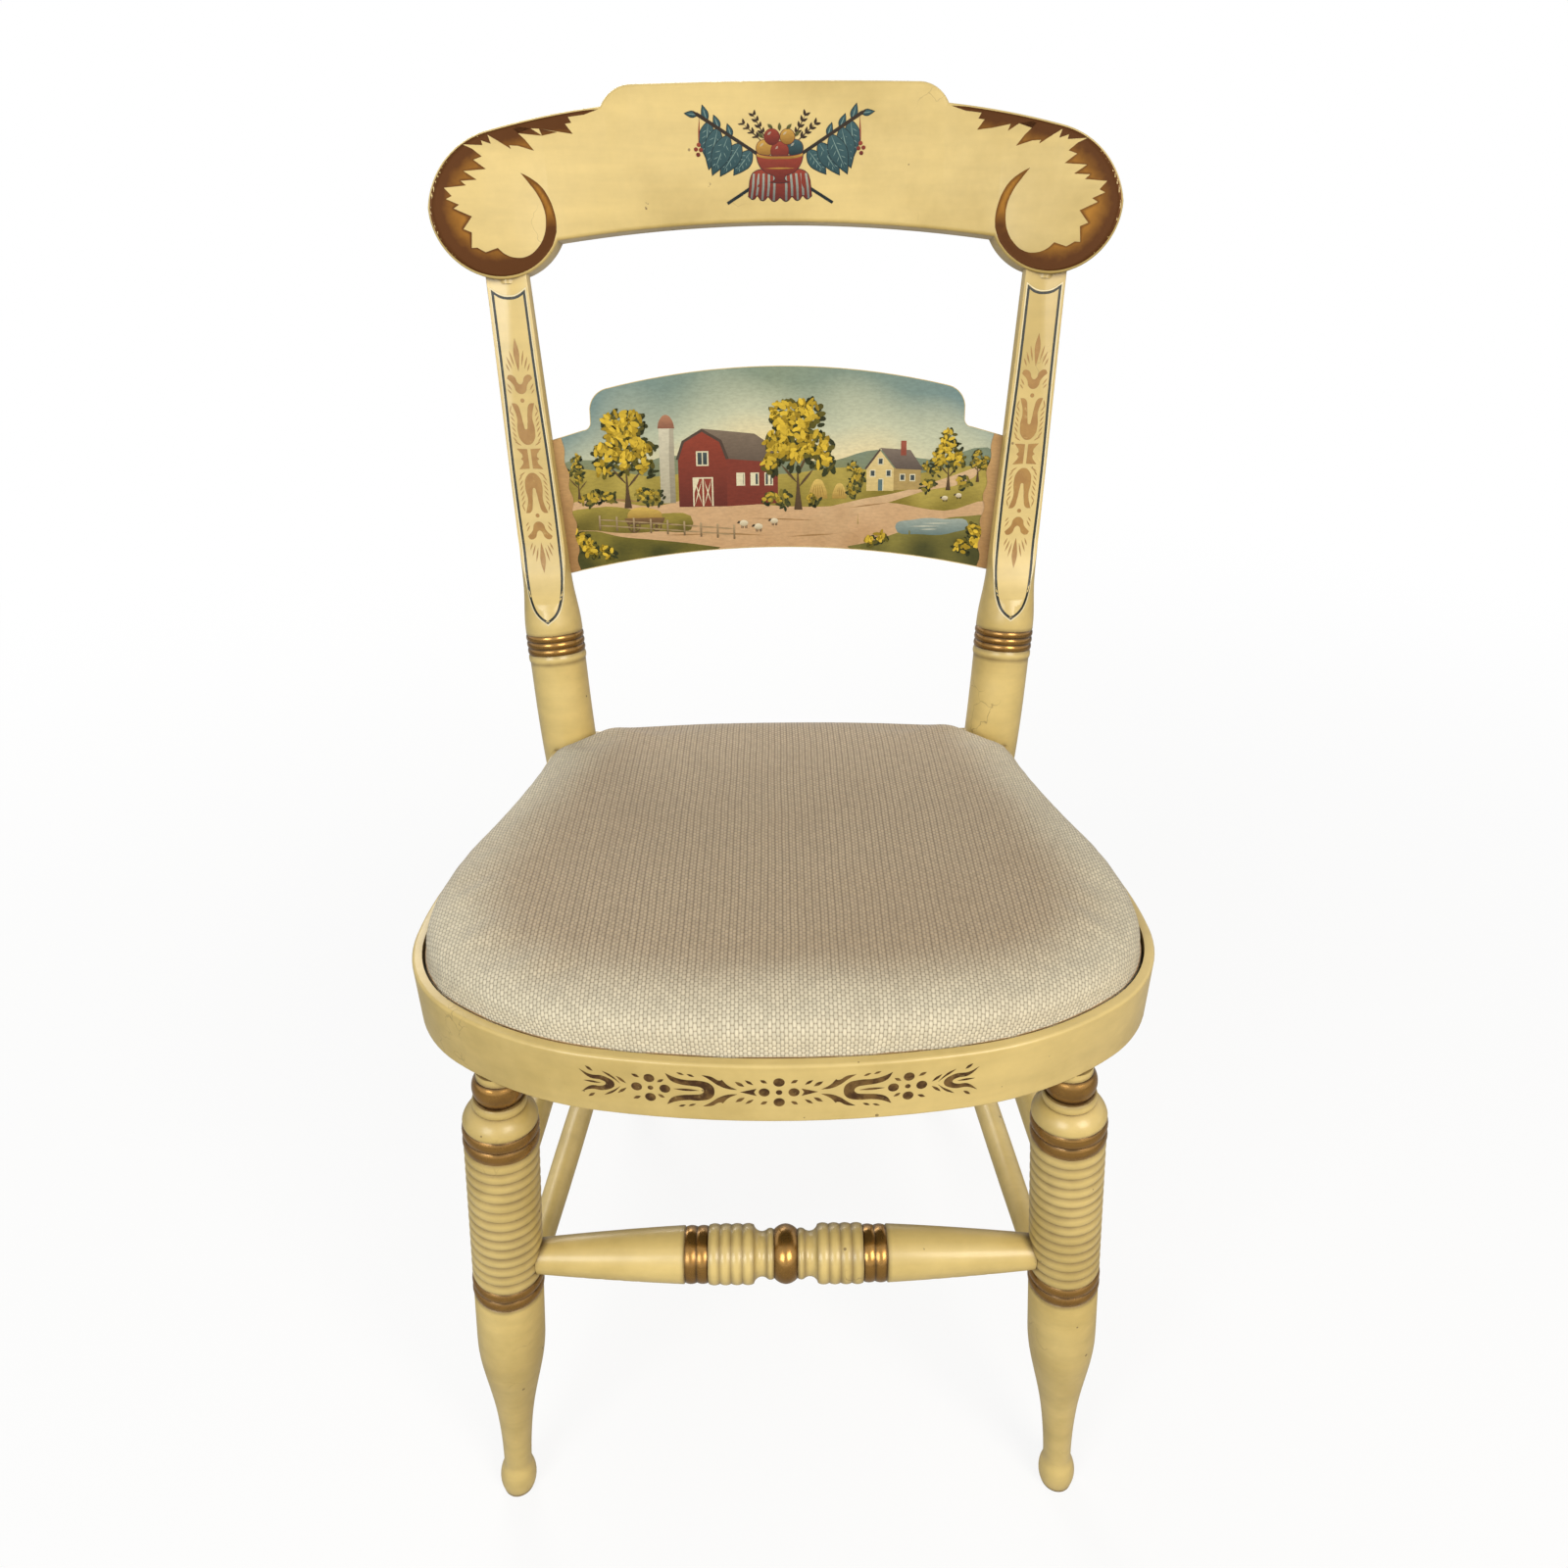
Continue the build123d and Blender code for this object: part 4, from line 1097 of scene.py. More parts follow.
def paint_branch(parts, sign):
    """A branch with its leaves, berries and sprigs, on one side of the bowl."""
    def own(*outlines):
        return [shifted(outline, CREST_MIDDLE, sign) for outline in outlines]

    twig = sharp((-40.4, 380.4), (-39.2, 378.6), (61.8, 441.9), (64.5, 445.2), (60.4, 444.0))
    paint_shape(parts, 0.115, TEAL_DARK, STEM, *own(twig))
    raised = [(54.0, 438.4, 11, 74, 4.6), (45.0, 432.8, 10, 68, 4.4), (61.0, 442.6, 9, 6, 4.0),
              (36.0, 427.4, 9, 72, 4.0)]
    hung = [(53.0, 438.0, 25, -84, 11.5), (21.0, 417.6, 22, -52, 11), (46.0, 433.6, 30, -76, 13),
            (29.0, 422.8, 28, -56, 12.5), (38.0, 428.6, 31, -66, 13.5)]
    for rank, (x, y, size, angle, width) in enumerate(raised + hung):
        lift = 0.012 * rank
        leaf = own(broad_leaf(x, y, size, angle, width))
        paint_shape(parts, lift, TEAL_DARK, None, grown(leaf[0], 0.45))
        paint_shape(parts, lift + 0.006, TEAL, TEAL_MID, *leaf)
        along = heading(angle) * size
        side = Vector((-along.y, along.x)) / size * width
        veins = [dab(x, y, x + 0.86 * along.x, y + 0.86 * along.y, 0.7)]
        for far, out in ((0.24, 0.34), (0.40, 0.34), (0.56, 0.26), (0.72, 0.18)) if width > 6 else ():
            spot = Vector((x, y)) + along * far
            veins += [dab(*(spot + side * way * 0.06), *(spot + along * 0.10 + side * way * out), 0.5)
                      for way in (-1, 1)]
        paint_shape(parts, lift + 0.012, TEAL_PALE, None, *own(*veins))
    paint_shape(parts, 0.12, RED, None, *own(dab(59.6, 441.0, 60.5, 420, 0.9)))
    berries = [dot(x, y, 1.5) for x, y in ((60.4, 421.6), (62.6, 418.4), (58.9, 418.0), (61.0, 414.6))]
    paint_shape(parts, 0.126, RED_DARK, RED, *own(*berries))
    for x, y, angle in ((8, 421, 62), (9, 420, 42)):
        foot, way = Vector((x, y)), heading(angle)
        leaves = [broad_leaf(*(foot + way * (9.4 + 4.6 * i)), 4.8, angle + turn, 1.9)
                  for i in range(4) for turn in (34, -34)]
        paint_shape(parts, 0.126, STEM, None, *own(dab(x, y, *(foot + way * 25), 0.7)))
        paint_shape(parts, 0.132, STEM, None, *own(*leaves))


def paint_cloth(parts):
    """A striped cloth with a wavy hem, under the foot of the bowl."""
    cloth = [(0, 403), (12, 404), (20, 401.5), (22.6, 396, 1), (23.8, 384.6, 1), (20.4, 382.6),
             (17.2, 385.4, 1), (13.2, 381.6), (9.0, 384.6, 1), (4.6, 381.0), (0, 383.8, 1)]
    cloth = shifted(folded(cloth), CREST_MIDDLE)
    paint_shape(parts, 0.13, TEAL_DARK, None, grown(cloth, 0.4))
    paint_shape(parts, 0.136, RED_DARK, RED, cloth)
    stripes = []
    for top, foot, low in ((0.0, 0.0, 384.0), (4.2, 4.7, 381.4), (8.2, 9.2, 384.6), (12.2, 13.4, 382.0),
                           (16.2, 17.6, 385.2), (19.6, 21.6, 383.0)):
        for sign in (-1, 1) if top else (1,):
            head, waist, hem = [CREST_MIDDLE + sign * across for across in (top, (top + foot) / 2, foot)]
            stripes.append(sharp((head - 0.8, 401), (head + 0.8, 401), (waist + 1.2, 392), (hem + 0.8, low),
                                 (hem - 0.8, low), (waist - 0.6, 392)))
    paint_shape(parts, 0.142, (0.13, 0.15, 0.14), (0.36, 0.38, 0.32), *stripes)


def paint_bowl(parts):
    """Five fruits with leaves, and the footed bowl before them."""
    fruits = [(-8.5, 419, 6.0, GOLD_DARK, GOLD), (14.5, 419, 6.0, TEAL_DARK, TEAL_MID),
              (3, 417, 6.6, RED_DARK, RED), (-2.8, 427, 5.6, RED_DARK, RED), (8.8, 427, 5.4, GOLD_DARK, GOLD)]
    for rank, (x, y, radius, low, high) in enumerate(fruits):
        lift = 0.15 + 0.018 * rank
        shine = Vector(high).lerp(Vector(CREAM), 0.6)
        paint_shape(parts, lift, RED_DARK, None, dot(x, y, radius + 0.35))
        paint_shape(parts, lift + 0.006, low, high, dot(x, y, radius))
        paint_shape(parts, lift + 0.012, shine, None, dab(x - 3.4, y + 1.2, x - 0.4, y + 3.8, 1.5))
    for leaf in ((-9, 426, -13, 430), (14, 427, 18, 431), (3, 431, 3, 437), (-2, 433, -6, 436),
                 (8, 432, 12, 436)):
        paint_shape(parts, 0.24, (0.05, 0.055, 0.016), (0.13, 0.12, 0.035), dab(*leaf, 2.4))
    bowl = folded([(0, 413.4), (12, 414), (17.5, 415.4, 1), (15.8, 408), (11.0, 402.2), (4.4, 399.4, 1),
                   (3.4, 397.0), (7.6, 394.6, 1), (0, 394.2)])
    bowl = shifted(bowl, CREST_MIDDLE)
    paint_shape(parts, 0.246, TEAL_DARK, None, grown(bowl, 0.35))
    paint_shape(parts, 0.252, RED_DARK, RED, bowl)
    rim = folded([(0, 413.0), (12, 413.6), (17.4, 415.2, 1), (17.0, 413.2, 1), (12, 411.8), (0, 411.2)])
    for band in (rim, dab(-11.5, 404.6, 11.5, 404.6, 1.2)):
        paint_shape(parts, 0.26, GOLD_DARK, GOLD, shifted(band, CREST_MIDDLE))


class CHAIR_OT_crest_picture(bpy.types.Operator):
    """Footed bowl of fruit on a striped cloth between two crossed branches, in the middle of the crest"""

    bl_idname = "chair.crest_picture"
    bl_label = "Crest picture"

    def execute(self, context):
        parts = []
        for sign in (-1, 1):
            paint_branch(parts, sign)
        paint_cloth(parts)
        paint_bowl(parts)
        piece = together("crest_picture", parts)
        smaller = Matrix.Diagonal((0.91, 0.86, 1, 1)) @ Matrix.Translation((-CREST_MIDDLE, -411.5, 0))
        piece.data.transform(Matrix.Translation((3.2, 411.5, 0)) @ smaller)
        cut_up(piece, 4.0)
        dress(piece, "crest_paint", picture_paint("crest_picture_paint"))
        lay(piece, back_canvas(), "crest_rail_painted")
        return {"FINISHED"}


# ---- slat picture ------------------------------------------------------------------------------
# height of the first small shape over the board, and of each shape over the one before it, in millimetres
FIRST_LAYER, LAYER_STEP = 0.084, 0.003
TRIM, EAVE = (0.68, 0.62, 0.42), (0.075, 0.05, 0.035)
DOOR = ((0.20, 0.036, 0.02), (0.25, 0.045, 0.026))
PANE = ((0.035, 0.045, 0.045), (0.07, 0.09, 0.09))
LOFT_PANE = ((0.035, 0.045, 0.045), (0.06, 0.08, 0.08))
SHEEP_DARK, WAGON = (0.05, 0.035, 0.02), (0.10, 0.055, 0.022)
BARK = ((0.075, 0.042, 0.018), (0.12, 0.075, 0.03))
YELLOWS = ((0.024, 0.028, 0.005), (0.095, 0.080, 0.008), (0.35, 0.230, 0.014), (0.60, 0.41, 0.035))
GREENS = ((0.022, 0.028, 0.008), (0.060, 0.062, 0.012), (0.17, 0.135, 0.018), (0.42, 0.29, 0.03))


def arch(start, end):
    """Points just over the arched lower edge of the slat, from one place across it to another."""
    places = [start + (end - start) * i / 16 for i in range(17)]
    return [(x, math.sqrt(ARCH_RADIUS ** 2 - x ** 2) + ARCH_CENTRE, 1) for x in places]


def paint_sky(parts):
    """The whole front of the slat in sky colours: a glow low in the middle, blue at the upper corners."""
    board = folded(arc(0, -262.7, 540.6, 90, 76.75, 9) + arc(120.32, 248.36, 15.57, 76.75, 5.9, 7)
                   + arc(141.8, 240.7, 6.0, 180, 270, 5) + [(166.0, 227.8, 1), (164.5, 131.3, 1)]
                   + arc(0, ARCH_CENTRE, ARCH_RADIUS - 0.1, 78.16, 90, 11))
    sky = drawn("sky", [board])
    cut_up(sky, 4.0, (0, 1))
    layer = sky.data.color_attributes.new(name="tint", type="FLOAT_COLOR", domain="POINT")
    glow, haze = Vector((0.84, 0.68, 0.37)), Vector((0.53, 0.55, 0.39))
    top, corner = Vector((0.235, 0.29, 0.205)), Vector((0.165, 0.255, 0.255))
    for item, point in zip(layer.data, sky.data.vertices):
        side = abs(point.co.x) / 150
        share = (point.co.y - 205) / 76 + 0.55 * side ** 2.2 + 0.30 * cloud.noise(point.co * 0.02)
        share = clamp(share)
        if share < 0.5:
            color = glow.lerp(haze, share * 2)
        else:
            color = haze.lerp(top.lerp(corner, min(side, 1)), share * 2 - 1)
        item.color = (*color, 1.0)
    parts.append(sky)


def paint_land(parts):
    """Hills, fields, road, banks and pond."""
    paint_shape(parts, 0.014, (0.22, 0.22, 0.09), (0.19, 0.24, 0.17), [
        (-162, 190, 1), (-162, 208), (-134, 214), (-108, 209), (-80, 216.5), (-44, 210), (-8, 217), (36, 211),
        (74, 219), (112, 212), (162, 216), (162, 190, 1)], wander=0.4, cut=6)
    paint_shape(parts, 0.028, (0.20, 0.155, 0.020), (0.42, 0.33, 0.07), [
        (-162, 165, 1), (-162, 202), (-126, 206), (-90, 201.5), (-46, 207), (0, 202), (50, 206.5), (96, 201),
        (134, 207), (162, 202), (162, 165, 1)], wander=0.8, cut=5, grain=0.05)
    paint_shape(parts, 0.042, (0.50, 0.30, 0.145), (0.60, 0.39, 0.21), [
        (-162, 160, 1), (-162, 177), (-128, 185), (-96, 180), (-56, 186), (-22, 181), (30, 178), (80, 181),
        (124, 175), (162, 179), (162, 160, 1), *arch(162, -162)], wander=0.5, cut=5)
    paint_shape(parts, 0.056, (0.48, 0.29, 0.14), (0.66, 0.46, 0.26), [
        (26, 152), (18, 163), (30, 174), (56, 182), (88, 188), (116, 196), (150, 208, 1), (144, 199),
        (108, 189), (86, 182), (62, 174), (52, 164), (62, 152)], wander=0.4, cut=5)
    banks = (
        (0.056, (0.055, 0.055, 0.010), (0.20, 0.165, 0.025), [
            (-162, 142, 1), (-162, 158), (-142, 163), (-118, 158), (-92, 155), (-64, 151.6), (-44, 148.6, 1),
            *arch(-46, -162)]),
        (0.058, (0.060, 0.060, 0.014), (0.22, 0.19, 0.04), [
            (162, 142, 1), (162, 168), (138, 171), (112, 166), (88, 158), (68, 151.6), (52, 148.4, 1),
            *arch(54, 162)]),
        (0.056, (0.13, 0.105, 0.016), (0.34, 0.27, 0.05), [
            (-160, 170), (-136, 180), (-96, 175), (-64, 167), (-92, 161.4), (-136, 163)]),
    )
    for lift, low, high, outline in banks:
        paint_shape(parts, lift, low, high, outline, wander=0.8, cut=5, grain=0.05)
    for rut in ((-58, 160, -8, 157, 1.2), (-20, 170, 30, 168, 1.0), (-86, 158.4, -52, 158.6, 1.0),
                (6, 156, 46, 158, 1.2), (52, 177, 84, 181, 1.0), (-150, 188, -96, 183, 1.6)):
        paint_shape(parts, 0.064, (0.33, 0.19, 0.075), None, dab(*rut))
    paint_shape(parts, 0.070, (0.13, 0.19, 0.18), (0.33, 0.38, 0.33), [
        (88, 163), (102, 168.4), (124, 169), (142, 165), (132, 159.4), (108, 157.6)], cut=6)
    for y, x, end in ((163.4, 98, 122), (165.6, 108, 130), (161.2, 106, 120)):
        paint_shape(parts, 0.082, (0.62, 0.60, 0.46), None, dab(x, y, end, y + 0.3, 0.6))


def barn():
    """Silo and red barn: shapes, each with its low colour, its high one and its outlines."""
    dark, red, roof = (0.115, 0.022, 0.014), (0.27, 0.050, 0.026), (0.115, 0.082, 0.058)
    shapes = [
        ((0.40, 0.36, 0.25), (0.60, 0.56, 0.42), block(-87.5, 182, -76.5, 236)),
        ((0.26, 0.23, 0.16), (0.42, 0.38, 0.28), block(-80.5, 182, -76.5, 236)),
        ((0.24, 0.10, 0.06), (0.42, 0.20, 0.11),
         [(-88.2, 235.6, 1), (-86.6, 241.5), (-82, 245.2), (-77.4, 241.5), (-75.8, 235.6, 1)]),
        (dark, red, sharp((-74, 179), (-74, 214), (-69.5, 226), (-56, 233.5), (-42.5, 226), (-38, 214),
                          (-38, 179))),
        ((0.17, 0.032, 0.018), (0.20, 0.038, 0.022), sharp((-38, 179), (-38, 214), (0, 211), (0, 181))),
        (roof, (0.20, 0.15, 0.105),
         sharp((-56, 235.2), (-41.5, 227), (-36.2, 213.4), (2.4, 210.2), (-4.6, 223), (-17, 231.2))),
        (EAVE, None, sharp((-75.6, 213.4), (-70.8, 226.6), (-56, 235.2), (-56, 233), (-69.2, 225.4),
                           (-73.6, 213.2))),
        (EAVE, None, sharp((-36.2, 213.4), (-41.5, 227), (-56, 235.2), (-56, 233), (-43.2, 225.6),
                           (-38.6, 213.2))),
        (TRIM, None, sharp((-63.6, 179.4), (-63.6, 200.4), (-48.4, 200.4), (-48.4, 179.4))),
        (*DOOR, block(-62.6, 179.4, -56.5, 199.4)),
        (*DOOR, block(-55.5, 179.4, -49.4, 199.4)),
        (TRIM, None, block(-60.6, 208.6, -51.4, 219.2)),
        (*LOFT_PANE, block(-59.5, 209.6, -56.4, 218.2)),
        (*LOFT_PANE, block(-55.6, 209.6, -52.5, 218.2)),
    ]
    for x, end in ((-62.4, -56.7), (-56.7, -62.4), (-55.3, -49.6), (-49.6, -55.3)):
        shapes.append((TRIM, None, dab(x, 180, end, 199, 0.8)))
    for x in (-31, -20.5, -10):
        shapes.append((TRIM, None, block(x, 194, x + 6.4, 203.4)))
        shapes.append((*PANE, block(x + 0.9, 194.8, x + 2.9, 202.6)))
        shapes.append((*PANE, block(x + 3.5, 194.8, x + 5.5, 202.6)))
    return shapes


def house():
    """Small yellow house beyond the road."""
    shapes = [
        ((0.40, 0.28, 0.10), None, sharp((86, 190), (86, 206), (106, 205), (106, 190.5))),
        ((0.62, 0.47, 0.19), (0.66, 0.52, 0.24),
         sharp((66, 189.5), (66, 206), (76, 218.5), (86, 206), (86, 189.5))),
        ((0.10, 0.075, 0.06), (0.20, 0.155, 0.12),
         sharp((76, 220.4), (87.6, 205.4), (108, 204.4), (98, 218.8))),
        ((0.08, 0.055, 0.04), None, sharp((64.4, 205.4), (76, 220.4), (76, 218.2), (66, 205.2))),
        ((0.25, 0.06, 0.035), (0.32, 0.085, 0.05), block(91, 215, 95, 225.4)),
        (TRIM, None, block(73.6, 189.6, 78.6, 198.6)),
        ((0.10, 0.16, 0.16), None, block(74.4, 189.6, 77.8, 197.8)),
    ]
    for x, y in ((68.4, 199.6), (80.2, 199.6), (74.2, 208.2), (90.4, 196.6), (97.8, 196.4)):
        shapes.append((TRIM, None, block(x, y, x + 4.2, y + 5.2)))
        shapes.append(((0.05, 0.065, 0.065), None, block(x + 0.7, y + 0.7, x + 3.5, y + 4.5)))
    return shapes


def haystacks():
    """Two haystacks between the tree and the house."""
    shapes = []
    for x, size in ((30, 11.5), (46, 9.0)):
        shapes.append(((0.36, 0.22, 0.045), (0.66, 0.47, 0.13), [
            (x - size * 0.62, 184, 1), (x - size * 0.52, 184 + size * 0.6), (x, 184 + size * 1.25),
            (x + size * 0.52, 184 + size * 0.6), (x + size * 0.62, 184, 1)]))
        for i in range(5):
            shift = size * (0.2 * i - 0.4)
            straw = dab(x + shift, 185, x + shift * 0.5, 184 + size * 0.95, 0.5)
            shapes.append(((0.27, 0.16, 0.03), None, straw))
    return shapes


def sheep():
    """Five sheep in two groups."""
    shapes = []
    for x, y, size in ((-26, 166, 1.0), (-15, 163.4, 1.0), (-3, 167.5, 0.9), (124, 184, 0.7),
                       (134, 186, 0.7)):
        for leg in (-1.9, -0.9, 1.0, 1.9):
            outline = block(x + leg * size, y - 3.4 * size, x + (leg + 0.5) * size, y)
            shapes.append((SHEEP_DARK, None, outline))
        shapes.append(((0.42, 0.33, 0.20), (0.78, 0.70, 0.50), [
            (x - 3.4 * size, y), (x - 1.8 * size, y + 2.3 * size), (x + 1.4 * size, y + 2.4 * size),
            (x + 3.2 * size, y + 0.6 * size), (x + 1.6 * size, y - 1.5 * size),
            (x - 1.8 * size, y - 1.4 * size)]))
        head = dab(x - 5.2 * size, y + 0.2 * size, x - 2.4 * size, y + 2.0 * size, 1.7 * size)
        shapes.append((SHEEP_DARK, None, head))
    return shapes


def hay_wagon():
    """Loaded hay wagon with spoked wheels."""
    shapes = [
        ((0.30, 0.18, 0.035), (0.62, 0.42, 0.10),
         [(-113, 170.5, 1), (-112, 176), (-104, 179.4), (-95, 178.4), (-88, 175.4), (-87, 170.5, 1)]),
        (WAGON, (0.20, 0.11, 0.045), sharp((-115, 171.6), (-85, 171.6), (-87, 167), (-113, 167))),
        (WAGON, None, dab(-86, 168, -74, 165, 0.9)),
    ]
    for x, radius in ((-108, 4.6), (-91.6, 4.0)):
        for spoke in range(3):
            reach = heading(60 * spoke) * radius
            shapes.append((WAGON, None, dab(x - reach.x, 165.4 - reach.y, x + reach.x, 165.4 + reach.y, 0.9)))
        shapes.append((WAGON, (0.17, 0.095, 0.04), dot(x, 165.4, radius), dot(x, 165.4, radius - 0.9)))
    return shapes


def fence():
    """Posts and two rails along the road."""
    shapes = []
    for i in range(9):
        x, y = -134 + 12.5 * i, 168.5 - 1.1 * i
        shapes.append(((0.16, 0.105, 0.05), (0.42, 0.31, 0.17), block(x, y - 5, x + 1.3, y + 5.6)))
        for rise in (-1.6, 2.6) if i < 8 else ():
            shapes.append(((0.34, 0.24, 0.12), None, dab(x - 1, y + rise, x + 14, y - 1.1 + rise, 1.2)))
    return shapes


def paint_trees(parts, lift):
    """Trunks, and crowns of leaf dabs before them."""
    for x, y, tall, wide in ((15, 176, 38, 3.6), (-112, 179, 34, 3.2), (126, 190, 22, 2.0),
                             (-147, 184, 20, 1.6), (147, 196, 16, 1.4)):
        paint_shape(parts, lift, *BARK, [
            (x - wide * 0.8, y, 1), (x - wide * 0.35, y + tall * 0.35), (x - 0.4, y + tall, 1),
            (x + wide * 0.4, y + tall * 0.35), (x + wide * 0.9, y, 1)])
        for lean, at in ((0.32, 0.42), (-0.34, 0.5), (0.18, 0.68)):
            bough = dab(x, y + tall * at, x + lean * tall, y + tall * (at + 0.38), wide * 0.5)
            paint_shape(parts, lift + 0.004, *BARK, bough)
    crowns = (
        ("big_tree", 3, YELLOWS, 3.3, [
            (15, 230, 16), (1, 221, 11), (30, 220, 12), (7, 243, 11), (24, 243, 11), (-4, 209, 7),
            (35, 208, 7), (15, 214, 9)]),
        ("left_tree", 7, YELLOWS, 3.0, [
            (-112, 227, 13), (-124, 217, 10), (-100, 218, 10), (-118, 238, 9), (-106, 239, 9), (-128, 207, 6),
            (-97, 207, 6), (-112, 211, 8)]),
        ("right_tree", 11, YELLOWS, 2.2, [(126, 219, 8), (120, 211, 6.5), (132, 211, 6.5), (126, 227, 5)]),
        ("poplars", 19, GREENS, 1.7, [
            (-147, 207, 4.5), (-147, 214, 4), (-146, 200, 4), (147, 214, 4), (147, 208, 4.5), (153, 206, 3.6),
            (153, 211, 3), (-154, 204, 3.6), (56, 206, 4), (61, 203, 4), (112, 206, 4), (117, 203, 3.5)]),
        ("hedge", 13, GREENS, 2.2, [
            (-100, 187, 6), (-91, 186, 5.5), (-134, 186, 6), (-141, 184, 5), (-125, 186, 5), (4, 183, 6),
            (-6, 184, 5), (27, 183, 5), (57, 189, 5), (112, 192, 5), (60, 197, 5), (138, 195, 5)]),
        ("bushes", 17, YELLOWS, 2.6, [
            (-150, 155, 8), (-140, 149, 7), (-128, 146, 5.5), (150, 152, 8), (138, 148, 6), (78, 154, 4.6),
            (70, 152, 3.6), (146, 160, 6), (-154, 165, 5)]),
    )
    for name, seed, tones, size, clumps in crowns:
        parts.append(foliage(name, seed, clumps, tones, size, lift + 0.012))


def paint_ends(parts, lift):
    """Brown torn edges of the picture at both ends of the slat."""
    end = [(157.5, 230.2, 1), (165.9, 227.8, 1), (164.4, 131.4, 1), (149.0, 134.2, 1), (151.0, 142),
           (149.2, 150), (151.6, 159), (150.0, 168), (152.8, 177), (151.4, 186), (154.0, 195), (153.2, 204),
           (156.0, 213), (155.6, 222)]
    for sign in (-1, 1):
        paint_shape(parts, lift, (0.36, 0.20, 0.075), (0.50, 0.30, 0.125), shifted(end, 0, sign),
                    wander=0.5, cut=5)


class CHAIR_OT_slat_picture(bpy.types.Operator):
    """Farm among trees, painted over the whole front of the slat"""

    bl_idname = "chair.slat_picture"
    bl_label = "Slat picture"

    def execute(self, context):
        parts = []
        paint_sky(parts)
        paint_land(parts)
        shapes = barn() + house() + haystacks() + sheep() + hay_wagon() + fence()
        for rank, (low, high, *outlines) in enumerate(shapes):
            paint_shape(parts, FIRST_LAYER + LAYER_STEP * rank, low, high, *outlines)
        front = FIRST_LAYER + LAYER_STEP * len(shapes)
        paint_trees(parts, front)
        paint_ends(parts, front + 0.072)
        piece = together("slat_picture", parts)
        cut_up(piece, 8.0)
        dress(piece, "slat_paint", picture_paint("slat_picture_paint"))
        lay(piece, back_canvas(), "back_slat_painted")
        return {"FINISHED"}


# ---- cushion -----------------------------------------------------------------------------------
def ridges(tree, value, pitch, power):
    """Rounded ridges along a value, one for each pitch of it."""
    wave = calc(tree, "SINE", calc(tree, "MULTIPLY", value, math.pi / pitch))
    return calc(tree, "POWER", calc(tree, "ABSOLUTE", wave), power)


def woven_cloth():
    """Ribbed cloth: pearls in columns from front to back, each column half a pearl out of step."""
    finish = bpy.context.scene.chair_finish
    sizes = bpy.context.scene.chair_cushion
    material, tree, shader = new_material("seat_cloth")
    place = object_place(tree)
    weave = add(tree, "ShaderNodeAttribute", attribute_name="weave").outputs["Vector"]
    parts = add(tree, "ShaderNodeSeparateXYZ", {0: weave})
    wander = calc(tree, "SUBTRACT", noise(tree, place, 18.0, 2.0), 0.5)
    rib = calc(tree, "DIVIDE", calc(tree, "MULTIPLY_ADD", wander, 2.0 * MM, parts.outputs[0]), sizes.rib)
    row = calc(tree, "DIVIDE", calc(tree, "MULTIPLY_ADD", wander, -2.0 * MM, parts.outputs[1]), sizes.bead)
    half = calc(tree, "FLOOR", calc(tree, "MULTIPLY", rib, 2.0))
    row = calc(tree, "MULTIPLY_ADD", calc(tree, "FLOORED_MODULO", half, 2.0), 0.5, row)
    patchy = calc(tree, "SUBTRACT", noise(tree, place, 11.0, 3.0), 0.5)
    # tan wear in the middle; the pale strip along the edges is partly painted light on the cushion's
    # turned-down edges
    wear_and_edge_light = soft_step(tree, calc(tree, "MULTIPLY_ADD", patchy, 0.55, parts.outputs[2]), 0.0, 0.95)
    twin = ridges(tree, rib, 0.5, 0.6)
    beads = ridges(tree, row, 1.0, 0.6)
    raised = calc(tree, "SUBTRACT", ridges(tree, rib, 1.0, 0.5), 1.0)
    raised = calc(tree, "MULTIPLY_ADD", raised, calc(tree, "MULTIPLY", wear_and_edge_light, 0.42), 1.0)
    raised = calc(tree, "MULTIPLY", raised, calc(tree, "MULTIPLY_ADD", twin, 0.5, 0.5))
    raised = calc(tree, "MULTIPLY", raised, calc(tree, "MULTIPLY_ADD", beads, 0.55, 0.45))
    cell = add(tree, "ShaderNodeCombineXYZ", {0: half, 1: calc(tree, "FLOOR", row)}).outputs[0]
    own = add(tree, "ShaderNodeTexWhiteNoise", {"Vector": cell}, noise_dimensions="2D").outputs["Value"]
    fuzz = noise(tree, place, 900.0, 3.0, 0.7)
    stain = soft_step(tree, noise(tree, place, 7.0, 4.0, 0.6), 0.42, 0.75)
    # painted light and shade of the weave's relief: raised pearls lighter, hollows darker, on the pale cloth
    # and on the worn tan
    color = mix(tree, soft_step(tree, raised, 0.2, 0.9), rgba(finish.cloth_dark), rgba(finish.cloth_pale))
    shaded_hollow, lit_pearl = [rgba([tone * part for part in finish.cloth_worn]) for tone in (0.62, 1.35)]
    tan = mix(tree, soft_step(tree, raised, 0.2, 1.0), shaded_hollow, lit_pearl)
    color = mix(tree, calc(tree, "MULTIPLY", wear_and_edge_light, 0.72), color, tan)
    color = mix(tree, calc(tree, "MULTIPLY", stain, 0.25), color, rgba(finish.cloth_worn))
    lift = calc(tree, "MULTIPLY_ADD", fuzz, 0.22, 0.80)
    color = lifted(tree, color, calc(tree, "ADD", lift, calc(tree, "MULTIPLY", own, 0.16)))
    feed(tree, shader, {"Base Color": color, "Roughness": 0.85, "Sheen Weight": 0.2, "Sheen Roughness": 0.5})
    roughen(tree, shader, calc(tree, "MULTIPLY_ADD", fuzz, 0.15, raised), 0.7 * MM)
    return material


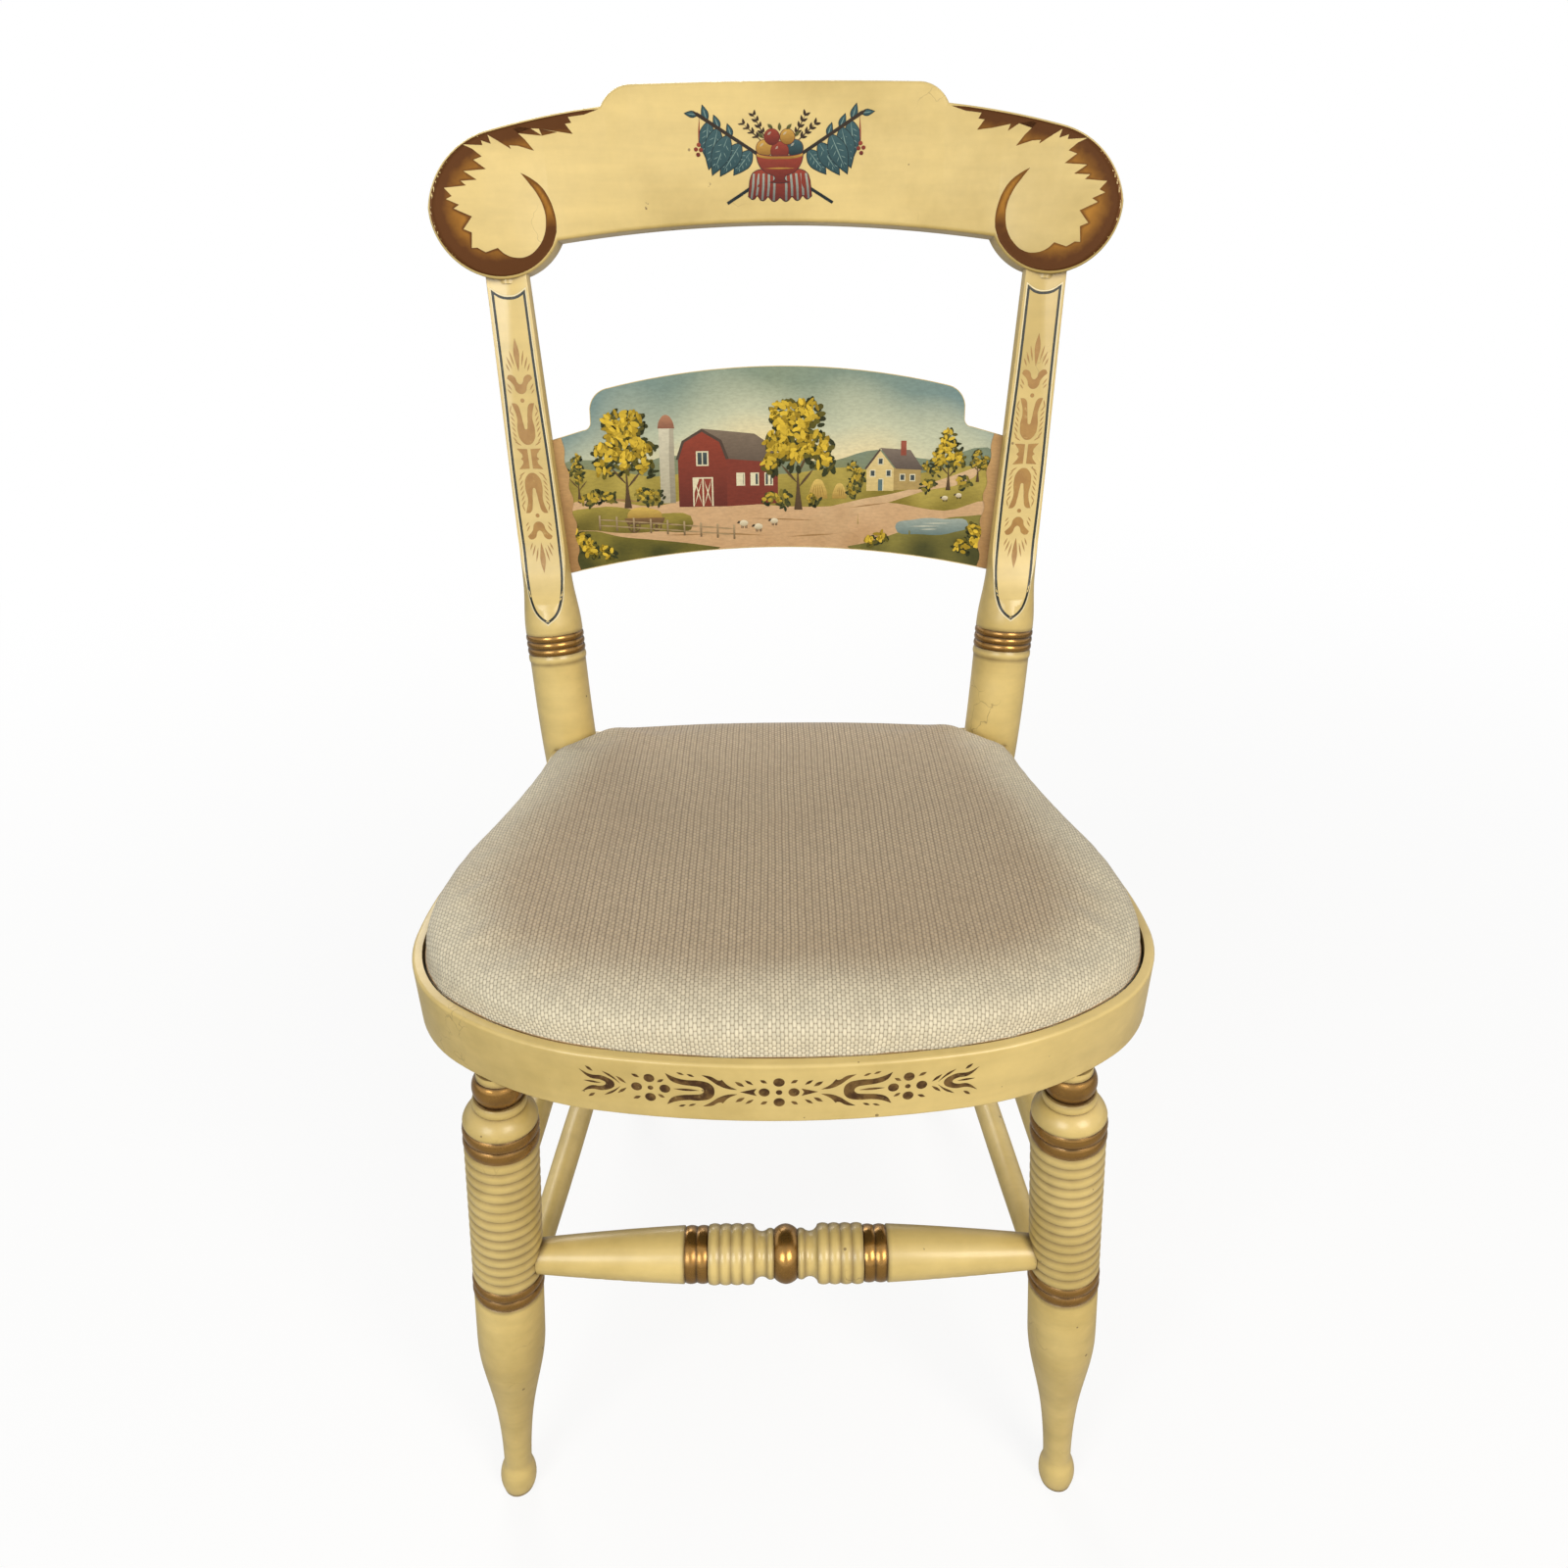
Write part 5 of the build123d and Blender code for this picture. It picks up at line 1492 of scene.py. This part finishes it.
def foam():
    """Open-celled foam."""
    material, tree, shader = new_material("seat_foam")
    place = object_place(tree)
    cells = add(tree, "ShaderNodeTexVoronoi", {"Vector": place, "Scale": 700.0}).outputs["Distance"]
    color = mix(tree, soft_step(tree, cells, 0.1, 0.6), (0.34, 0.24, 0.09, 1), (0.66, 0.53, 0.28, 1))
    feed(tree, shader, {"Base Color": color, "Roughness": 0.9})
    roughen(tree, shader, cells, 0.6 * MM)
    return material


def swell(piece, cap, held_below):
    """Cloth simulation blown up from inside, with no point further out than the cap."""
    before = [vertex.co.copy() for vertex in piece.data.vertices]
    held = piece.vertex_groups.new(name="held")
    held.add([i for i, place in enumerate(before) if place.z < held_below], 1.0, "REPLACE")
    modifier = piece.modifiers.new("Cloth", "CLOTH")
    cloth = modifier.settings
    cloth.use_pressure = True
    cloth.uniform_pressure_force = 4.0
    cloth.vertex_group_mass = "held"
    cloth.effector_weights.gravity = 0.0
    last_frame = 20
    for step in range(1, last_frame + 1):
        bpy.context.scene.frame_set(step)
    only(piece)
    bpy.ops.object.modifier_apply(modifier=modifier.name)
    bpy.context.scene.frame_set(1)
    for vertex, old in zip(piece.data.vertices, before):
        move = vertex.co - old
        if move.length > cap:
            vertex.co = old + move * (cap / move.length)
    piece.vertex_groups.clear()


def unrolled(piece, roll):
    """Where each point of the cloth lies once it is spread flat, and how worn it is: tan wear in the middle,
    and a pale strip along the edges that is partly painted light where the cushion turns down.
    """
    shoulder = SEAT_TOP + 0.0165
    border, fade = 12, 60
    edge = [Vector(knot) for knot in SEAT_EDGE]
    layer = piece.data.attributes.new("weave", "FLOAT_VECTOR", "POINT")
    for item, vertex in zip(layer.data, piece.data.vertices):
        outwards = Vector((vertex.normal.x, vertex.normal.y, 0.0))
        drop = max(0.0, shoulder - vertex.co.z)
        turn = math.acos(1.0 - min(drop / roll, 1.0))
        extra = roll * (turn - math.sin(turn)) + max(0.0, drop - roll)
        if outwards.length > 0.001:
            outwards = outwards.normalized() * extra
        inside = edge_distance(Vector((abs(vertex.co.x), vertex.co.y - SEAT_FRONT)) / MM, edge)
        # wear with painted light: near the edge the cloth counts as unworn, so a pale strip stands partly for
        # the light its turned-down edges catch
        wear_and_edge_light = clamp((inside - border) / fade)
        item.vector = (vertex.co.x + outwards.x, vertex.co.y + outwards.y, wear_and_edge_light)


class CHAIR_OT_cushion(bpy.types.Operator):
    """Drop-in cushion: a crowned pad in a cover of ribbed cloth"""

    bl_idname = "chair.cushion"
    bl_label = "Cushion"

    def execute(self, context):
        sizes = context.scene.chair_cushion
        board_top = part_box("seat_board")[1].z
        cover = copy_of("seat_pad", "cushion_cover", 60.0)
        for vertex in cover.data.vertices:
            if vertex.co.z < board_top + 0.0002:
                vertex.co.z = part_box("seat_board")[0].z + 0.0008
        apply_modifier(cover, "REMESH", mode="VOXEL", voxel_size=sizes.voxel)
        swell(cover, sizes.cap, board_top + 0.001)
        apply_modifier(cover, "SMOOTH", factor=0.5, iterations=1)
        for vertex in cover.data.vertices:
            high = clamp((vertex.co.z - SEAT_TOP - 0.001) / 0.006)
            far_back = clamp((vertex.co.y - SEAT_FRONT - 0.075) / 0.06)
            lean = math.copysign(sizes.overhang * high * far_back, vertex.co.x)
            vertex.co.x += lean * min(abs(vertex.co.x) / 0.15, 1.0)
        pad = placed("cushion_pad", cover.data.copy())
        apply_modifier(pad, "DISPLACE", strength=-0.0004, mid_level=0.0)
        edit(pad)
        bpy.ops.mesh.bisect(plane_co=(0, 0, board_top), plane_no=(0, 0, 1), clear_inner=True, use_fill=True)
        edited()
        dress(pad, "seat_foam", foam())
        apply_modifier(cover, "DISPLACE", strength=0.0008, mid_level=0.0)
        apply_modifier(cover, "SUBSURF", levels=1, render_levels=1)
        for piece, node in ((cover, "seat_cover"), (pad, "seat_pad")):
            only(piece)
            bpy.ops.object.shade_smooth()
            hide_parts(node)
            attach(piece, "root")
        unrolled(cover, roll=0.013)
        dress(cover, "seat_cloth", woven_cloth())
        return {"FINISHED"}


# ---- studio ------------------------------------------------------------------------------------
def lamp(name, place, aim, size, power, color):
    """A square soft light that looks at a point."""
    bpy.ops.object.light_add(type="AREA", location=place)
    light = bpy.context.object
    light.name = name
    light.data.shape = "SQUARE"
    light.data.size = size
    light.data.energy = power
    light.data.color = color
    light.rotation_euler = (Vector(aim) - Vector(place)).to_track_quat("-Z", "Y").to_euler()


class CHAIR_OT_studio(bpy.types.Operator):
    """Pale floor with its backdrop, soft lamps and the camera"""

    bl_idname = "chair.studio"
    bl_label = "Studio"

    def execute(self, context):
        studio = context.scene.chair_studio
        bpy.ops.object.select_all(action="DESELECT")
        bpy.ops.mesh.primitive_plane_add(size=24.0, location=(0, 0, 0))
        floor = context.object
        floor.name = "studio_floor"
        material, tree, shader = new_material("studio_floor")
        white = add(tree, "ShaderNodeEmission", {"Color": (1, 1, 1, 1), "Strength": 1.0})
        far = add(tree, "ShaderNodeVectorMath", {0: object_place(tree)}, operation="LENGTH").outputs["Value"]
        seen = add(tree, "ShaderNodeLightPath").outputs["Is Camera Ray"]
        color = mix(tree, seen, (0.42, 0.41, 0.39, 1), (0.90, 0.90, 0.90, 1))
        feed(tree, shader, {"Base Color": color, "Roughness": 0.9, "Specular IOR Level": 0.1})
        share = calc(tree, "MULTIPLY", seen, soft_step(tree, far, 0.5, 2.2, 0.84, 1.0))
        both = add(tree, "ShaderNodeMixShader", {0: share, 1: shader.outputs[0], 2: white.outputs[0]})
        out = next(node for node in tree.nodes if node.type == "OUTPUT_MATERIAL")
        feed(tree, out, {0: both.outputs[0]})
        floor.data.materials.append(material)

        world = bpy.data.worlds.new("studio")
        context.scene.world = world
        world.use_nodes = True
        tree = world.node_tree
        tree.nodes.clear()
        path = add(tree, "ShaderNodeLightPath")
        seen = calc(tree, "MAXIMUM", path.outputs["Is Camera Ray"], path.outputs["Is Glossy Ray"])
        light = add(tree, "ShaderNodeBackground", {"Color": (0.95, 0.97, 1.0, 1), "Strength": 0.34})
        white = add(tree, "ShaderNodeBackground", {"Color": (1, 1, 1, 1), "Strength": 1.0})
        both = add(tree, "ShaderNodeMixShader", {0: seen, 1: light.outputs[0], 2: white.outputs[0]})
        add(tree, "ShaderNodeOutputWorld", {0: both.outputs[0]})

        lamp("key_lamp", (1.2, -1.9, 1.75), (0, 0, 0.55), 1.1, 37.0, (1.0, 0.92, 0.80))
        lamp("fill_lamp", (-1.2, -2.1, 1.6), (0, 0, 0.55), 1.1, 29.0, (0.98, 0.99, 0.96))
        lamp("back_lamp", (-0.7, 2.3, 1.7), (0, 0.1, 0.5), 1.6, 34.0, (1.0, 0.97, 0.92))

        bpy.ops.object.camera_add()
        camera = context.object
        camera.name = "camera"
        turn = Matrix.Rotation(studio.turn, 4, "Z")
        tilt = Matrix.Rotation(math.pi / 2 - studio.tilt, 4, "X")
        roll = Matrix.Rotation(studio.roll, 4, "Z")
        place = Vector((studio.camera_side, SEAT_FRONT - studio.camera_ahead, studio.camera_height))
        camera.matrix_world = Matrix.Translation(place) @ turn @ tilt @ roll
        camera.data.lens = studio.focal
        camera.data.sensor_width = 36.0
        camera.data.shift_x = studio.shift
        camera.data.clip_start = 0.01
        context.scene.camera = camera
        context.scene.view_settings.view_transform = "Standard"
        return {"FINISHED"}


class CHAIR_PT_panel(bpy.types.Panel):
    """The chair's sizes, colours and steps"""

    bl_idname = "CHAIR_PT_panel"
    bl_label = "Painted chair"
    bl_space_type = "VIEW_3D"
    bl_region_type = "UI"
    bl_category = "Chair"

    def draw(self, context):
        scene = context.scene
        for name in PROPERTIES:
            settings = getattr(scene, name)
            for key in settings.bl_rna.properties.keys():
                if key not in ("rna_type", "name"):
                    self.layout.prop(settings, key)
        for step in STEPS:
            self.layout.operator(step.bl_idname)


PROPERTIES = {
    "chair_finish": ChairFinish,
    "chair_layout": ChairLayout,
    "chair_cushion": ChairCushion,
    "chair_studio": ChairStudio,
}
STEPS = (
    CHAIR_OT_studio,
    CHAIR_OT_front_legs,
    CHAIR_OT_back_posts,
    CHAIR_OT_stretchers,
    CHAIR_OT_seat_frame,
    CHAIR_OT_back_boards,
    CHAIR_OT_hidden_parts,
    CHAIR_OT_cushion,
    CHAIR_OT_rail_stencil,
    CHAIR_OT_post_stencils,
    CHAIR_OT_ear_borders,
    CHAIR_OT_crest_picture,
    CHAIR_OT_slat_picture,
)


def register():
    """Make the settings, the steps and the panel known to Blender."""
    for name, group in PROPERTIES.items():
        bpy.utils.register_class(group)
        setattr(bpy.types.Scene, name, PointerProperty(type=group))
    for step in (*STEPS, CHAIR_PT_panel):
        bpy.utils.register_class(step)


def unregister():
    """Take the settings, the steps and the panel away again."""
    for step in (CHAIR_PT_panel, *STEPS[::-1]):
        bpy.utils.unregister_class(step)
    for name, group in PROPERTIES.items():
        delattr(bpy.types.Scene, name)
        bpy.utils.unregister_class(group)


def main():
    """Build the chair step by step."""
    register()
    for step in STEPS:
        family, name = step.bl_idname.split(".")
        getattr(getattr(bpy.ops, family), name)()


if __name__ == "__main__":
    main()
